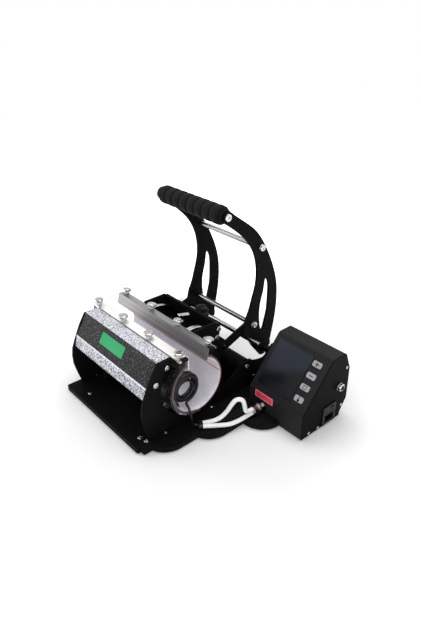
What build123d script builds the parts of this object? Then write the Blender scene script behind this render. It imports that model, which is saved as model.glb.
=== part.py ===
from build123d import *
import math
import os

os.makedirs("parts", exist_ok=True)

# Tumbler heat press, in millimetres: +X runs along the bore, +Y to the rear, +Z up
# Lengths from front to back start at the base plate's front edge, heights at the floor

# Main axle, the pivot that the arms swing on, the lug round it, and how far behind it the
# arms' bowed backs reach, the press's rearmost part
AXLE_Y = 339.0
AXLE_Z = 60.0
AXLE_R = 6.0
AXLE_HEAD_R = 9.0
AXLE_HEAD = 5.0
LUG_R = 22.0
ARM_REACH = 31.42

# Overall reach, used to centre the press over the origin
STRIP_HALF = 138.0
BOX_LEFT = 155.0
BOX_WIDTH = 129.0
BOX_RIGHT = BOX_LEFT + BOX_WIDTH
FITTING_PROUD = 8.0
MID_X = -(BOX_RIGHT + FITTING_PROUD - STRIP_HALF) / 2
FRONT_Y = -(AXLE_Y + ARM_REACH) / 2

# Fits between pieces
RUNNING = 0.05
SLIP = 0.3
THREAD_GAP = 0.08
KEY_GAP = 0.3

# Sheet steel
PAN_SHEET = 2.0
SHELL_SHEET = 1.5
SADDLE_SHEET = 2.0
BOX_SHEET = 2.0

# Base pan, stepped out to the right in three round lobes, and its feet
BASE_DEPTH = 334.0
PAN_TOP = 12.0
PAN_LIFT = 2.0
BASE_HALF = 121.0
NOTCH_DEPTH = 7.0
NOTCH_WIDTH = 10.0
LOBE_R = 44.0
LOBE_OUT = 158.7
LOBE_Y = 65.0
LOBE_STEP_OUT = 26.0
LOBE_STEP_BACK = 80.0
LAST_LOBE_OUT = 231.0
LAST_LOBE_Y = 235.0
PAN_CORNER = 3.0
FOOT_R = 10.0
FOOT_INSET = 21.0
FOOT_FRONT = 25.0

# Bore and heating mat
BORE_Y = 124.0
BORE_Z = 96.0
MAT_R = 51.0
MAT_THICK = 6.0
STRIP_OVER = 3.0
MAT_HALF = STRIP_HALF - STRIP_OVER
TAB_THICK = 3.0
MOUTH_FRONT = 104.0
MOUTH_REAR = 147.0

# Clamp strips, angles of stainless steel
STRIP_SHEET = 2.5
STRIP_TOP = 162.5
STRIP_LEG = 22.5
FRONT_FLANGE = 20.0
REAR_FLANGE = 19.0
REAR_LEAN = 14.0
BAR_HEIGHT = 11.0
BAR_DEPTH = 13.0

# Thumb screws
THUMB_R = 2.5
THUMB_HEAD_R = 9.0
THUMB_HEAD = 5.0
THUMB_RIM = 1.2
THUMB_COLLAR_R = 5.5
THUMB_INSET = 10.5
THUMB_INNER = 40.0
THUMB_OUTER = MAT_HALF - THUMB_INSET
THUMB_XS = [-THUMB_OUTER, -THUMB_INNER, THUMB_INNER, THUMB_OUTER]
FRONT_THUMB_BACK = 11.0
REAR_THUMB_BACK = 10.0
FRONT_COLLAR = 5.0
REAR_COLLAR = 8.0
FRONT_THUMB_Y = MOUTH_FRONT - FRONT_THUMB_BACK
THUMB_BITE = 8.0

# Side plates
SIDE_IN = 113.0
SIDE_THICK = 4.0
NOTCH_R = 66.0
SIDE_TOP = 160.0
SIDE_FOOT = 14.0
SIDE_FOOT_THICK = 3.0
SIDE_FOOT_FRONT = 40.0
SIDE_FOOT_REAR = 180.0

# Saddles that back the mat
SADDLE_R = MAT_R + MAT_THICK + SLIP
SADDLE_START = 130.0
SADDLE_END = 276.0
LIP_DEPTH = 3.5
CRADLE_X = 94.0
CRADLE_THICK = 4.0
CRADLE_TOP = 225.0
CRADLE_DEPTH = 14.0
REAR_START = -48.0
REAR_END = 57.5

# Arms and what joins them
ARM_IN = 83.0
ARM_THICK = 5.0
TAIL_R = 18.5
ELBOW_DY = -34.0
ELBOW_DZ = 67.0
ELBOW_R = 5.0
STOP_DY = -49.0
STOP_DZ = 43.0
STOP_R = 3.5
STOP_HALF = 122.0
UPPER_DY = -21.0
UPPER_DZ = 225.0
UPPER_R = 5.0
GRIP_DY = -108.5
GRIP_DZ = 303.5
GRIP_R = 17.0
GRIP_TUBE_R = 9.0
GRIP_WALL = 2.0
ARM_END_R = 11.5
NUT_R = 7.0
NUT_THICK = 5.0
GRIP_RIBS = 8
GRIP_GROOVE = 2.0

# Links between the arms and the carriage
LINK_THICK = 4.0
LINK_GAP = 0.5
LINK_HALF = 9.5
LINK_BOLT_R = 3.0
LINK_HEAD_R = 6.0
LINK_HEAD = 4.0
KNEE_Y = 235.0
KNEE_Z = 101.0
KNEE_CLEARANCE = 2.6

# Carriage
TRAY_HALF = 73.0
PLATE_THICK = 5.0
TRAY_SHEET = 2.0
TRAY_FLOOR = 126.0
TRAY_REAR = 215.0
TRAY_TOP = 160.0
TRAY_LIP = 6.0
TRAY_SKIRT = 14.0
STRAP_X = 56.0
STRAP_WIDTH = 10.0
STRAP_THICK = 2.0
STRAP_DROP = 4.0
STRAP_CROWN_Y = 192.0
STRAP_CROWN_Z = 152.5
STRAP_END_Z = 143.0
CARRIAGE_BOLT_R = 3.0
CARRIAGE_HEAD_R = 5.5
CARRIAGE_HEAD = 3.5
BOLT_BACK = 8.0
BOLT_HIGH = 144.0
BOLT_LOW = 128.0

# Guide rods under the carriage
ROD_X = 56.0
ROD_Z = 24.0
ROD_R = 5.0
ROD_FRONT = 131.0
BRACKET_DEPTH = 8.0
BLOCK_FRONT = 198.0
BLOCK_REAR = 226.0
BLOCK_HALF = 9.0

# Pressure adjuster at the back of the carriage
ADJUST_Z = 144.5
ADJUST_R = 4.0
KNOB_R = 18.0
KNOB_LOBES = 8
KNOB_LOBE_R = 4.5
KNOB_THICK = 14.0
KNOB_STANDOFF = 26.0
ADJUST_REACH = 28.0

# Cross tube and rear panel
TUBE_Y = 261.0
TUBE_Z = 61.5
TUBE_R = 14.5
TUBE_WALL = 2.0
PANEL_THICK = 3.0

# Control box
BOX_FRONT = 236.0
BOX_BACK = 359.0
BOX_LIFT = 2.0
NOSE_Z = 51.5
CREST_Y = 308.0
BOX_TOP = 140.5
CREST_DEPTH = 33.0
BOX_BEND = 8.0
BOX_FOOT_R = 8.0
BOX_FOOT_INSET = 20.0
PANEL_FILM = 0.8
GLASS_THICK = 1.2
GLASS_LEFT = 11.0
GLASS_GAP = 3.0
GLASS_LOW = 13.0
GLASS_HIGH = 104.0
KEY_WIDTH = 19.0
KEY_HEIGHT = 11.0
KEY_INSET = 25.0
KEY_X = BOX_WIDTH - KEY_INSET
GLASS_WIDTH = KEY_X - KEY_WIDTH / 2 - GLASS_GAP - GLASS_LEFT
KEY_PROUD = 1.6
KEY_LOW = 25.0
KEY_PITCH = 22.8
KEY_CORNER = 3.0
KEY_STEM = 2.0
KEY_EDGE = 0.5
PANEL_INSET = 3.0
PANEL_MARGIN = 4.0

# Mains inlet, rocker and fitting on the box's right end
INLET_Y = 309.0
INLET_Z = 24.0
INLET_WIDTH = 36.0
INLET_HEIGHT = 40.0
INLET_FLANGE = 2.0
INLET_RIM = 3.5
INLET_DEPTH = 18.0
INLET_BACK = 3.0
PIN_WIDTH = 2.0
PIN_HEIGHT = 4.0
PIN_PITCH = 7.0
PIN_LENGTH = 14.0
SOCKET_WIDTH = 24.0
SOCKET_HEIGHT = 15.5
SOCKET_DROP = 7.5
ROCKER_WIDTH = 21.0
ROCKER_HEIGHT = 11.0
ROCKER_RISE = 9.5
ROCKER_TILT = 8.0
ROCKER_GAP = 0.5
ROCKER_SEAT = 2.0
ROCKER_FACE = 4.0
FITTING_Y = 331.0
FITTING_Z = 74.0
FITTING_R = 9.0
FITTING_WALL = 3.0
FITTING_DEPTH = 20.0
BOX_SCREW_R = 3.0
BOX_SCREW_HEAD = 1.6
BOX_SCREW_SPOTS = [(347, 108), (344, 26), (280, 7), (255, 8)]

# Round connector on the box's front
PLUG_X = 187.0
PLUG_R = 8.0
PLUG_LENGTH = 20.0
PLUG_TAIL_R = 8.4
SOCKET_R = 10.5
SOCKET_FLANGE = 2.5
SOCKET_NECK = 2.0
SOCKET_PROUD = 6.0
SOCKET_DEPTH = 12.0
PLUG_Z = PAN_TOP + SOCKET_R + SLIP

# Plain plates
GREEN_WIDTH = 72.0
GREEN_HEIGHT = 22.0
GREEN_X = -6.0
PLATE_FILM = 0.8
RED_X = 191.0
RED_WIDTH = 44.0
RED_HEIGHT = 15.0
RED_Z = 43.5

# Leads: two white sleeved ones side by side, and the black tail from the mat
LEAD_R = 4.0
LEAD_STEP = 8.6
LEAD_REST = 17.5
TAIL_LEAD_R = 2.2
COLLAR_LENGTH = 9.0

# Coil of the mat's lead, tucked into the front of the bore at its right end
COIL_R = 34.0
COIL_CORE_R = 20.0
COIL_RIGHT = 126.0
COIL_WIDTH = 26.0
COIL_SIDE = 215.0
COIL_EXIT = 261.0


# A vertical plane across the press: its x runs to the rear and its y runs up
def side_plane(x):
    return Plane(origin=(MID_X + x, FRONT_Y, 0), x_dir=(0, 1, 0), z_dir=(1, 0, 0))


# A level plane: its x runs to the right and its y to the rear
def floor_plane(z):
    return Plane(origin=(MID_X, FRONT_Y, z), x_dir=(1, 0, 0), z_dir=(0, 0, 1))


# A vertical plane that faces the operator: its x runs right and its y runs up
def front_plane(y):
    return Plane(origin=(MID_X, FRONT_Y + y, 0), x_dir=(1, 0, 0), z_dir=(0, -1, 0))


# A vertical plane across the press that leans back with the rear strip: it starts at the
# strip's top front edge, its x runs to the rear along the flange and its y runs up
LEAN_SIN = math.sin(math.radians(REAR_LEAN))
LEAN_COS = math.cos(math.radians(REAR_LEAN))


def lean_plane(x):
    return Plane(
        origin=(MID_X + x, FRONT_Y + MOUTH_REAR, STRIP_TOP),
        x_dir=(0, LEAN_COS, -LEAN_SIN),
        z_dir=(1, 0, 0),
    )


# A plane along the leaning flange, a given height over its top
def flange_plane(rise):
    return Plane(
        origin=(MID_X, FRONT_Y + MOUTH_REAR + rise * LEAN_SIN, STRIP_TOP + rise * LEAN_COS),
        x_dir=(1, 0, 0),
        z_dir=(0, LEAN_SIN, LEAN_COS),
    )


# A point of the leaning strip in the upright side plane's terms
def lean_point(back, rise):
    return (
        MOUTH_REAR + back * LEAN_COS + rise * LEAN_SIN,
        STRIP_TOP - back * LEAN_SIN + rise * LEAN_COS,
    )


# A plane square to the pressure adjuster, a given way along it from the tray's rear wall
def adjust_plane(along):
    return Plane(
        origin=(
            MID_X,
            FRONT_Y + TRAY_REAR + TRAY_SHEET / 2 + along * LEAN_COS,
            ADJUST_Z - along * LEAN_SIN,
        ),
        x_dir=(1, 0, 0),
        z_dir=(0, LEAN_COS, -LEAN_SIN),
    )


# A point on a circle about the bore, angle 0 to the rear and 90 up
def bore_point(r, degrees):
    a = math.radians(degrees)
    return (BORE_Y + r * math.cos(a), BORE_Z + r * math.sin(a))


# Base plate: one folded steel pan whose right side steps out in three round lobes
lobe_outs = [LOBE_OUT, LOBE_OUT + LOBE_STEP_OUT, LAST_LOBE_OUT]
lobe_ys = [LOBE_Y, LOBE_Y + LOBE_STEP_BACK, LAST_LOBE_Y]
lobe_starts = [BASE_HALF + NOTCH_WIDTH, lobe_outs[0], lobe_outs[1]]


# Where a lobe's arc starts, at the side of the step before it
def lobe_start(start_x, out_x, centre_y):
    return centre_y - math.sqrt(LOBE_R**2 - (start_x - out_x + LOBE_R) ** 2)


with BuildPart() as base_plate:
    with BuildSketch(floor_plane(PAN_LIFT)) as pan:
        with BuildLine():
            first_y = lobe_start(lobe_starts[0], lobe_outs[0], lobe_ys[0])
            box_corner = (BOX_LEFT - SLIP, BOX_FRONT - SLIP)
            FilletPolyline(
                (LAST_LOBE_OUT, BOX_FRONT - SLIP),
                box_corner,
                (BOX_LEFT - SLIP, BASE_DEPTH),
                (-BASE_HALF, BASE_DEPTH),
                (-BASE_HALF, 0),
                (BASE_HALF, 0),
                (BASE_HALF, NOTCH_DEPTH),
                (BASE_HALF + NOTCH_WIDTH, NOTCH_DEPTH),
                (BASE_HALF + NOTCH_WIDTH, first_y),
                radius=[SLIP, PAN_CORNER, PAN_CORNER, PAN_CORNER, PAN_CORNER, 1, PAN_CORNER],
            )
            Line((LAST_LOBE_OUT, LAST_LOBE_Y), (LAST_LOBE_OUT, BOX_FRONT - SLIP))
            for start_x, out_x, centre_y in zip(lobe_starts, lobe_outs, lobe_ys):
                turn = math.degrees(math.acos((start_x - out_x + LOBE_R) / LOBE_R))
                CenterArc((out_x - LOBE_R, centre_y), LOBE_R, -turn, turn)
            for n in (0, 1):
                next_y = lobe_start(lobe_starts[n + 1], lobe_outs[n + 1], lobe_ys[n + 1])
                Line((lobe_outs[n], lobe_ys[n]), (lobe_outs[n], next_y))
        make_face()
    extrude(amount=PAN_TOP - PAN_LIFT)
    with BuildSketch(floor_plane(PAN_LIFT)) as hollow:
        add(pan.sketch_local)
        offset(amount=-PAN_SHEET, kind=Kind.ARC, mode=Mode.REPLACE)
    extrude(amount=PAN_TOP - PAN_LIFT - PAN_SHEET, mode=Mode.SUBTRACT)
base_plate.part.label = "base_plate"
export_step(base_plate.part, "parts/base_plate.step")

# Rubber feet: six under the pan and four lower ones under the control box
foot_left = -BASE_HALF + FOOT_INSET
foot_rear = BASE_DEPTH - FOOT_INSET
foot_spots = [
    (foot_left, FOOT_FRONT),
    (-foot_left, FOOT_FRONT),
    (foot_left, foot_rear),
    (BOX_LEFT - FOOT_INSET, foot_rear),
    (foot_left, (FOOT_FRONT + foot_rear) / 2),
    (lobe_outs[1] - FOOT_INSET, lobe_ys[1] + FOOT_INSET),
]
box_feet = [
    (BOX_LEFT + BOX_FOOT_INSET, BOX_FRONT + BOX_FOOT_INSET),
    (BOX_RIGHT - BOX_FOOT_INSET, BOX_FRONT + BOX_FOOT_INSET),
    (BOX_LEFT + BOX_FOOT_INSET, BOX_BACK - 2 * BOX_FOOT_INSET),
    (BOX_RIGHT - BOX_FOOT_INSET, BOX_BACK - 2 * BOX_FOOT_INSET),
]
with BuildPart() as rubber_feet:
    with BuildSketch(floor_plane(0)):
        with Locations(*foot_spots):
            Circle(FOOT_R)
    extrude(amount=PAN_TOP - PAN_SHEET)
    with BuildSketch(floor_plane(0)):
        with Locations(*box_feet):
            Circle(BOX_FOOT_R)
    extrude(amount=BOX_LIFT)
rubber_feet.part.label = "rubber_feet"
export_step(rubber_feet.part, "parts/rubber_feet.step")


# Side plate outline: a horn in front, a round notch for the bore and a low neck,
# then a cheek that rises to the lug of the main axle
def side_outline():
    horn = bore_point(NOTCH_R, 128)
    waist = bore_point(NOTCH_R, 180)
    foot = bore_point(NOTCH_R, 272)
    with BuildLine() as edge:
        Polyline(
            (30, PAN_TOP),
            (23, 37),
            (18, 59),
            (17.5, 78),
            (20, 94),
            (29, 115),
            (40, 138),
            (54, SIDE_TOP),
            (80, SIDE_TOP),
            horn,
        )
        ThreePointArc(horn, waist, foot)
        Polyline(
            foot,
            (150, 19),
            (173, 24),
            (192, 34),
            (214, 47.5),
            (230, 57),
            (TUBE_Y - TUBE_R - 2, TUBE_Z + 12),
            (TUBE_Y + TUBE_R - 2, TUBE_Z + 12),
            (282, AXLE_Z + 6),
            (299, AXLE_Z + 1.3),
            (311, AXLE_Z + 0.3),
            (AXLE_Y - 17, AXLE_Z + 6.5),
            (AXLE_Y - 5, AXLE_Z + LUG_R - 1),
            (AXLE_Y + 8, AXLE_Z + LUG_R - 2),
            (AXLE_Y + 18, AXLE_Z + LUG_R - 10),
            (AXLE_Y + LUG_R, AXLE_Z),
            (AXLE_Y + 14, AXLE_Z - 22),
            (BASE_DEPTH - PAN_CORNER, PAN_TOP),
            (30, PAN_TOP),
        )
    return edge.line


with BuildPart() as right_side_plate:
    with BuildSketch(side_plane(SIDE_IN)):
        with BuildLine():
            add(side_outline())
        make_face()
        with Locations((AXLE_Y, AXLE_Z)):
            Circle(AXLE_R + RUNNING, mode=Mode.SUBTRACT)
    extrude(amount=SIDE_THICK)
    with BuildSketch(side_plane(SIDE_IN)):
        with Locations(((SIDE_FOOT_FRONT + SIDE_FOOT_REAR) / 2, PAN_TOP + SIDE_FOOT_THICK / 2)):
            Rectangle(SIDE_FOOT_REAR - SIDE_FOOT_FRONT, SIDE_FOOT_THICK)
    extrude(amount=SIDE_FOOT)
right_side_plate.part.label = "right_side_plate"
export_step(right_side_plate.part, "parts/right_side_plate.step")

# Left side plate: the mirror of the right one, with its foot turned inwards
with BuildPart() as left_side_plate:
    with BuildSketch(side_plane(-SIDE_IN)):
        with BuildLine():
            add(side_outline())
        make_face()
        with Locations((AXLE_Y, AXLE_Z)):
            Circle(AXLE_R + RUNNING, mode=Mode.SUBTRACT)
    extrude(amount=-SIDE_THICK)
    with BuildSketch(side_plane(-SIDE_IN)):
        with Locations(((SIDE_FOOT_FRONT + SIDE_FOOT_REAR) / 2, PAN_TOP + SIDE_FOOT_THICK / 2)):
            Rectangle(SIDE_FOOT_REAR - SIDE_FOOT_FRONT, SIDE_FOOT_THICK)
    extrude(amount=SIDE_FOOT - SIDE_THICK)
left_side_plate.part.label = "left_side_plate"
export_step(left_side_plate.part, "parts/left_side_plate.step")

# Front shell: one bent steel sheet with a top, a sloped front and a lower facet
SHELL_TOP = STRIP_TOP - 0.5
shell_path = [(82, SHELL_TOP), (56, SHELL_TOP), (31, 120), (25, 99), (34, 84)]
with BuildPart() as front_shell:
    with BuildSketch(side_plane(-SIDE_IN)):
        with BuildLine():
            Polyline(*shell_path)
            offset(amount=SHELL_SHEET, side=Side.LEFT, kind=Kind.INTERSECTION)
        make_face()
    extrude(amount=2 * SIDE_IN)
front_shell.part.label = "front_shell"
export_step(front_shell.part, "parts/front_shell.step")

# Front saddle: a steel trough behind the mat's front half, with a lip under the clamp strip
FLANGE_UNDER = STRIP_TOP - STRIP_SHEET
front_tab = MOUTH_FRONT - STRIP_SHEET
lip_rear = front_tab - LIP_DEPTH
with BuildPart() as front_saddle:
    with BuildSketch(side_plane(-MAT_HALF)) as trough:
        with BuildLine():
            top = bore_point(SADDLE_R + SADDLE_SHEET, SADDLE_START)
            mid = bore_point(SADDLE_R + SADDLE_SHEET, (SADDLE_START + SADDLE_END) / 2)
            end = bore_point(SADDLE_R + SADDLE_SHEET, SADDLE_END)
            end_in = bore_point(SADDLE_R, SADDLE_END)
            mid_in = bore_point(SADDLE_R, (SADDLE_START + SADDLE_END) / 2)
            top_in = bore_point(SADDLE_R, SADDLE_START)
            ThreePointArc(top, mid, end)
            Line(end, end_in)
            ThreePointArc(end_in, mid_in, top_in)
            Polyline(
                top_in,
                (top[0] + SADDLE_SHEET, FLANGE_UNDER - SADDLE_SHEET),
                (lip_rear, FLANGE_UNDER - SADDLE_SHEET),
                (lip_rear, FLANGE_UNDER),
                (top[0], FLANGE_UNDER),
                top,
            )
        make_face()
    extrude(amount=2 * MAT_HALF)
    with BuildSketch(floor_plane(FLANGE_UNDER)):
        with Locations(*[(x, FRONT_THUMB_Y) for x in THUMB_XS]):
            Circle(THUMB_R + THREAD_GAP)
    extrude(amount=-SADDLE_SHEET - 1, mode=Mode.SUBTRACT)
    cradle_edge = bore_point(SADDLE_R + SADDLE_SHEET, CRADLE_TOP)
    cradle_low = bore_point(SADDLE_R + SADDLE_SHEET, (CRADLE_TOP + SADDLE_END) / 2)
    cradle_back = bore_point(SADDLE_R + SADDLE_SHEET, SADDLE_END)
    for side in (-1, 1):
        with BuildSketch(side_plane(side * CRADLE_X - CRADLE_THICK / 2)):
            with BuildLine():
                ThreePointArc(cradle_edge, cradle_low, cradle_back)
                Polyline(
                    cradle_back,
                    (cradle_back[0], PAN_TOP),
                    (cradle_edge[0] - CRADLE_DEPTH, PAN_TOP),
                    (cradle_edge[0] - CRADLE_DEPTH, cradle_edge[1] - CRADLE_DEPTH),
                    cradle_edge,
                )
            make_face()
        extrude(amount=CRADLE_THICK)
front_saddle.part.label = "front_saddle"
export_step(front_saddle.part, "parts/front_saddle.step")

# Front clamp strip: a stainless angle whose leg hangs in the mouth, in front of the mat's tab
with BuildPart() as front_clamp_strip:
    with BuildSketch(side_plane(-STRIP_HALF)):
        with BuildLine():
            Polyline(
                (MOUTH_FRONT, STRIP_TOP - STRIP_LEG),
                (MOUTH_FRONT, STRIP_TOP),
                (MOUTH_FRONT - FRONT_FLANGE, STRIP_TOP),
                (MOUTH_FRONT - FRONT_FLANGE, STRIP_TOP - STRIP_SHEET),
                (MOUTH_FRONT - STRIP_SHEET, STRIP_TOP - STRIP_SHEET),
                (MOUTH_FRONT - STRIP_SHEET, STRIP_TOP - STRIP_LEG),
                close=True,
            )
        make_face()
    extrude(amount=2 * STRIP_HALF)
    with BuildSketch(floor_plane(STRIP_TOP)):
        with Locations(*[(x, FRONT_THUMB_Y) for x in THUMB_XS]):
            Circle(THUMB_R + RUNNING)
    extrude(amount=-STRIP_SHEET, mode=Mode.SUBTRACT)
front_clamp_strip.part.label = "front_clamp_strip"
export_step(front_clamp_strip.part, "parts/front_clamp_strip.step")

# Rear clamp strip: the same angle the other way round, leaning back on the carriage
with BuildPart() as rear_clamp_strip:
    with BuildSketch(lean_plane(-STRIP_HALF)):
        with BuildLine():
            Polyline(
                (0, -STRIP_LEG),
                (0, 0),
                (REAR_FLANGE, 0),
                (REAR_FLANGE, -STRIP_SHEET),
                (STRIP_SHEET, -STRIP_SHEET),
                (STRIP_SHEET, -STRIP_LEG),
                close=True,
            )
        make_face()
    extrude(amount=2 * STRIP_HALF)
    with BuildSketch(flange_plane(0)):
        with Locations(*[(x, REAR_THUMB_BACK) for x in THUMB_XS]):
            Circle(THUMB_R + RUNNING)
    extrude(amount=-STRIP_SHEET, mode=Mode.SUBTRACT)
rear_clamp_strip.part.label = "rear_clamp_strip"
export_step(rear_clamp_strip.part, "parts/rear_clamp_strip.step")

# Rear clamp bar: a black bar under the rear strip that the thumb screws bite into
bar_front = STRIP_SHEET + TAB_THICK + SLIP
bar_rear = bar_front + BAR_DEPTH
bar_low = -STRIP_SHEET - BAR_HEIGHT
with BuildPart() as rear_clamp_bar:
    with BuildSketch(lean_plane(-MAT_HALF)):
        with Locations(((bar_front + bar_rear) / 2, bar_low + BAR_HEIGHT / 2)):
            Rectangle(BAR_DEPTH, BAR_HEIGHT)
    extrude(amount=2 * MAT_HALF)
    with BuildSketch(flange_plane(-STRIP_SHEET)):
        with Locations(*[(x, REAR_THUMB_BACK) for x in THUMB_XS]):
            Circle(THUMB_R + THREAD_GAP)
    extrude(amount=-BAR_HEIGHT, mode=Mode.SUBTRACT)
rear_clamp_bar.part.label = "rear_clamp_bar"
export_step(rear_clamp_bar.part, "parts/rear_clamp_bar.step")


# Height on a circle about the bore at a given distance from front to back, upper half
def height_at(r, y):
    return BORE_Z + math.sqrt(r * r - (y - BORE_Y) ** 2)


# Where a line down along the leaning strip meets a circle about the bore
def lean_meet(back, r):
    y, z = lean_point(back, 0)
    along = (y - BORE_Y) * LEAN_SIN + (z - BORE_Z) * LEAN_COS
    off = (y - BORE_Y) ** 2 + (z - BORE_Z) ** 2 - r * r
    return lean_point(back, -along + math.sqrt(along**2 - off))


# Heating mat: a horseshoe of silicone and sponge round the bore, with a tab at each end
MAT_OUT = MAT_R + MAT_THICK
rear_tab = STRIP_SHEET
with BuildPart() as heating_mat:
    with BuildSketch(side_plane(-MAT_HALF)):
        with BuildLine():
            a1 = (front_tab, height_at(MAT_R, front_tab))
            a2 = lean_meet(rear_tab, MAT_R)
            b1 = (front_tab - TAB_THICK, height_at(MAT_OUT, front_tab - TAB_THICK))
            b2 = lean_meet(rear_tab + TAB_THICK, MAT_OUT)
            ThreePointArc(a1, (BORE_Y, BORE_Z - MAT_R), a2)
            Polyline(
                a2,
                lean_point(rear_tab, -STRIP_SHEET - SLIP),
                lean_point(rear_tab + TAB_THICK, -STRIP_SHEET - SLIP),
                b2,
            )
            ThreePointArc(b2, (BORE_Y, BORE_Z - MAT_OUT), b1)
            Polyline(b1, (front_tab - TAB_THICK, FLANGE_UNDER), (front_tab, FLANGE_UNDER), a1)
        make_face()
    extrude(amount=2 * MAT_HALF)
heating_mat.part.label = "heating_mat"
export_step(heating_mat.part, "parts/heating_mat.step")

# Thumb screws: flat round heads on short collars, four in front and four behind


# A level plane over the front strip's flange, or the leaning one over the rear strip's
def thumb_plane(end, rise):
    if end == "front":
        return floor_plane(STRIP_TOP + rise)
    return flange_plane(rise)


for end, thumb_y, collar in (
    ("front", FRONT_THUMB_Y, FRONT_COLLAR),
    ("rear", REAR_THUMB_BACK, REAR_COLLAR),
):
    for number, thumb_x in enumerate(THUMB_XS, start=1):
        with BuildPart() as thumb_screw:
            with BuildSketch(thumb_plane(end, -STRIP_SHEET - THUMB_BITE)):
                with Locations((thumb_x, thumb_y)):
                    Circle(THUMB_R)
            extrude(amount=STRIP_SHEET + THUMB_BITE + RUNNING)
            with BuildSketch(thumb_plane(end, RUNNING)):
                with Locations((thumb_x, thumb_y)):
                    Circle(THUMB_COLLAR_R)
            extrude(amount=collar)
            with BuildSketch(thumb_plane(end, RUNNING + collar)):
                with Locations((thumb_x, thumb_y)):
                    Circle(THUMB_HEAD_R)
            extrude(amount=THUMB_HEAD)
            rim = thumb_screw.edges().filter_by(GeomType.CIRCLE).group_by(SortBy.RADIUS)[-1]
            chamfer(rim, THUMB_RIM)
        screw_name = f"{end}_thumb_screw_{number}"
        thumb_screw.part.label = screw_name
        export_step(thumb_screw.part, f"parts/{screw_name}.step")

# Cross tube between the side plates, and the panel that hangs under it
with BuildPart() as cross_tube:
    with BuildSketch(side_plane(-SIDE_IN)):
        with Locations((TUBE_Y, TUBE_Z)):
            Circle(TUBE_R)
            Circle(TUBE_R - TUBE_WALL, mode=Mode.SUBTRACT)
    extrude(amount=2 * SIDE_IN)
    with BuildSketch(side_plane(SIDE_IN), side_plane(-SIDE_IN + TUBE_WALL * 2)):
        with Locations((TUBE_Y, TUBE_Z)):
            Circle(TUBE_R - TUBE_WALL)
    extrude(amount=-TUBE_WALL * 2)
cross_tube.part.label = "cross_tube"
export_step(cross_tube.part, "parts/cross_tube.step")

with BuildPart() as rear_panel:
    with BuildSketch(side_plane(-SIDE_IN)):
        with BuildLine():
            PANEL_TOP = TUBE_Z - TUBE_R
            Polyline(
                (TUBE_Y - PANEL_THICK / 2, PAN_TOP),
                (TUBE_Y - PANEL_THICK / 2, PANEL_TOP),
                (TUBE_Y + PANEL_THICK / 2, PANEL_TOP),
                (TUBE_Y + PANEL_THICK / 2, PAN_TOP),
                close=True,
            )
        make_face()
    extrude(amount=2 * SIDE_IN)
    with BuildSketch(front_plane(TUBE_Y)):
        with Locations((-ROD_X, ROD_Z), (ROD_X, ROD_Z)):
            Circle(ROD_R)
    extrude(amount=PANEL_THICK, both=True, mode=Mode.SUBTRACT)
rear_panel.part.label = "rear_panel"
export_step(rear_panel.part, "parts/rear_panel.step")

# Guide rods that the carriage slides on, and the bracket that holds their front ends
with BuildPart() as guide_rods:
    with BuildSketch(front_plane(ROD_FRONT)):
        with Locations((-ROD_X, ROD_Z), (ROD_X, ROD_Z)):
            Circle(ROD_R)
    extrude(amount=-(TUBE_Y + PANEL_THICK / 2 - ROD_FRONT))
guide_rods.part.label = "guide_rods"
export_step(guide_rods.part, "parts/guide_rods.step")

with BuildPart() as guide_bracket:
    with BuildSketch(front_plane(ROD_FRONT)):
        with Locations((0, (PAN_TOP + ROD_Z + ROD_R + 3) / 2)):
            Rectangle(2 * ROD_X + 26, ROD_Z + ROD_R + 3 - PAN_TOP)
        with Locations((-ROD_X, ROD_Z), (ROD_X, ROD_Z)):
            Circle(ROD_R, mode=Mode.SUBTRACT)
    extrude(amount=-BRACKET_DEPTH)
guide_bracket.part.label = "guide_bracket"
export_step(guide_bracket.part, "parts/guide_bracket.step")

# Main axle with a turned head at each end, and the collars that keep the arms in place
AXLE_HALF = SIDE_IN + SIDE_THICK + RUNNING
with BuildPart() as main_axle:
    with BuildSketch(side_plane(-AXLE_HALF)):
        with Locations((AXLE_Y, AXLE_Z)):
            Circle(AXLE_R)
    extrude(amount=2 * AXLE_HALF)
    for side in (-1, 1):
        with BuildSketch(side_plane(side * AXLE_HALF)):
            with Locations((AXLE_Y, AXLE_Z)):
                Circle(AXLE_HEAD_R)
        extrude(amount=side * AXLE_HEAD)
main_axle.part.label = "main_axle"
export_step(main_axle.part, "parts/main_axle.step")

with BuildPart() as axle_spacers:
    for side in (-1, 1):
        with BuildSketch(side_plane(side * (ARM_IN + ARM_THICK + SLIP))):
            with Locations((AXLE_Y, AXLE_Z)):
                Circle(AXLE_HEAD_R)
                Circle(AXLE_R + RUNNING, mode=Mode.SUBTRACT)
        extrude(amount=side * (SIDE_IN - ARM_IN - ARM_THICK - SLIP))
axle_spacers.part.label = "axle_spacers"
export_step(axle_spacers.part, "parts/axle_spacers.step")


# A point on the arms, from the axle
def arm_point(dy, dz):
    return (AXLE_Y + dy, AXLE_Z + dz)


# Arm outline: wide at the elbow, bowed to the rear and drawn in to the grip
arm_back = [
    (-101.2, 312.8), (-76.4, 293.4), (-34.3, 260.2), (-4.7, 218.8), (17.7, 172.2),
    (29.3, 131.5), (31.4, 97), (29.7, 69.1), (25.1, 41.6), (18.5, 9.5),
]
arm_front = [
    (-111.3, 292.1), (-65.3, 255.4), (-44.2, 230), (-30.6, 198.8), (-27, 174.3),
    (-29.1, 146.4), (-36.4, 121), (-41.2, 104.7), (-51.2, 82.9),
]
arm_heel = [(-39.1, 27.3), (-27, 8), (-15, -7), (-8, -16.5)]
slot_points = [
    (-1.5, 157), (5, 145), (7.3, 125), (7.3, 105), (5.5, 78), (1, 60), (-6.5, 43),
    (-13, 52), (-15, 62), (-17, 87), (-14, 112), (-7, 142),
]
ARM_CHIN = (-60.5, 46.5)


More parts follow.
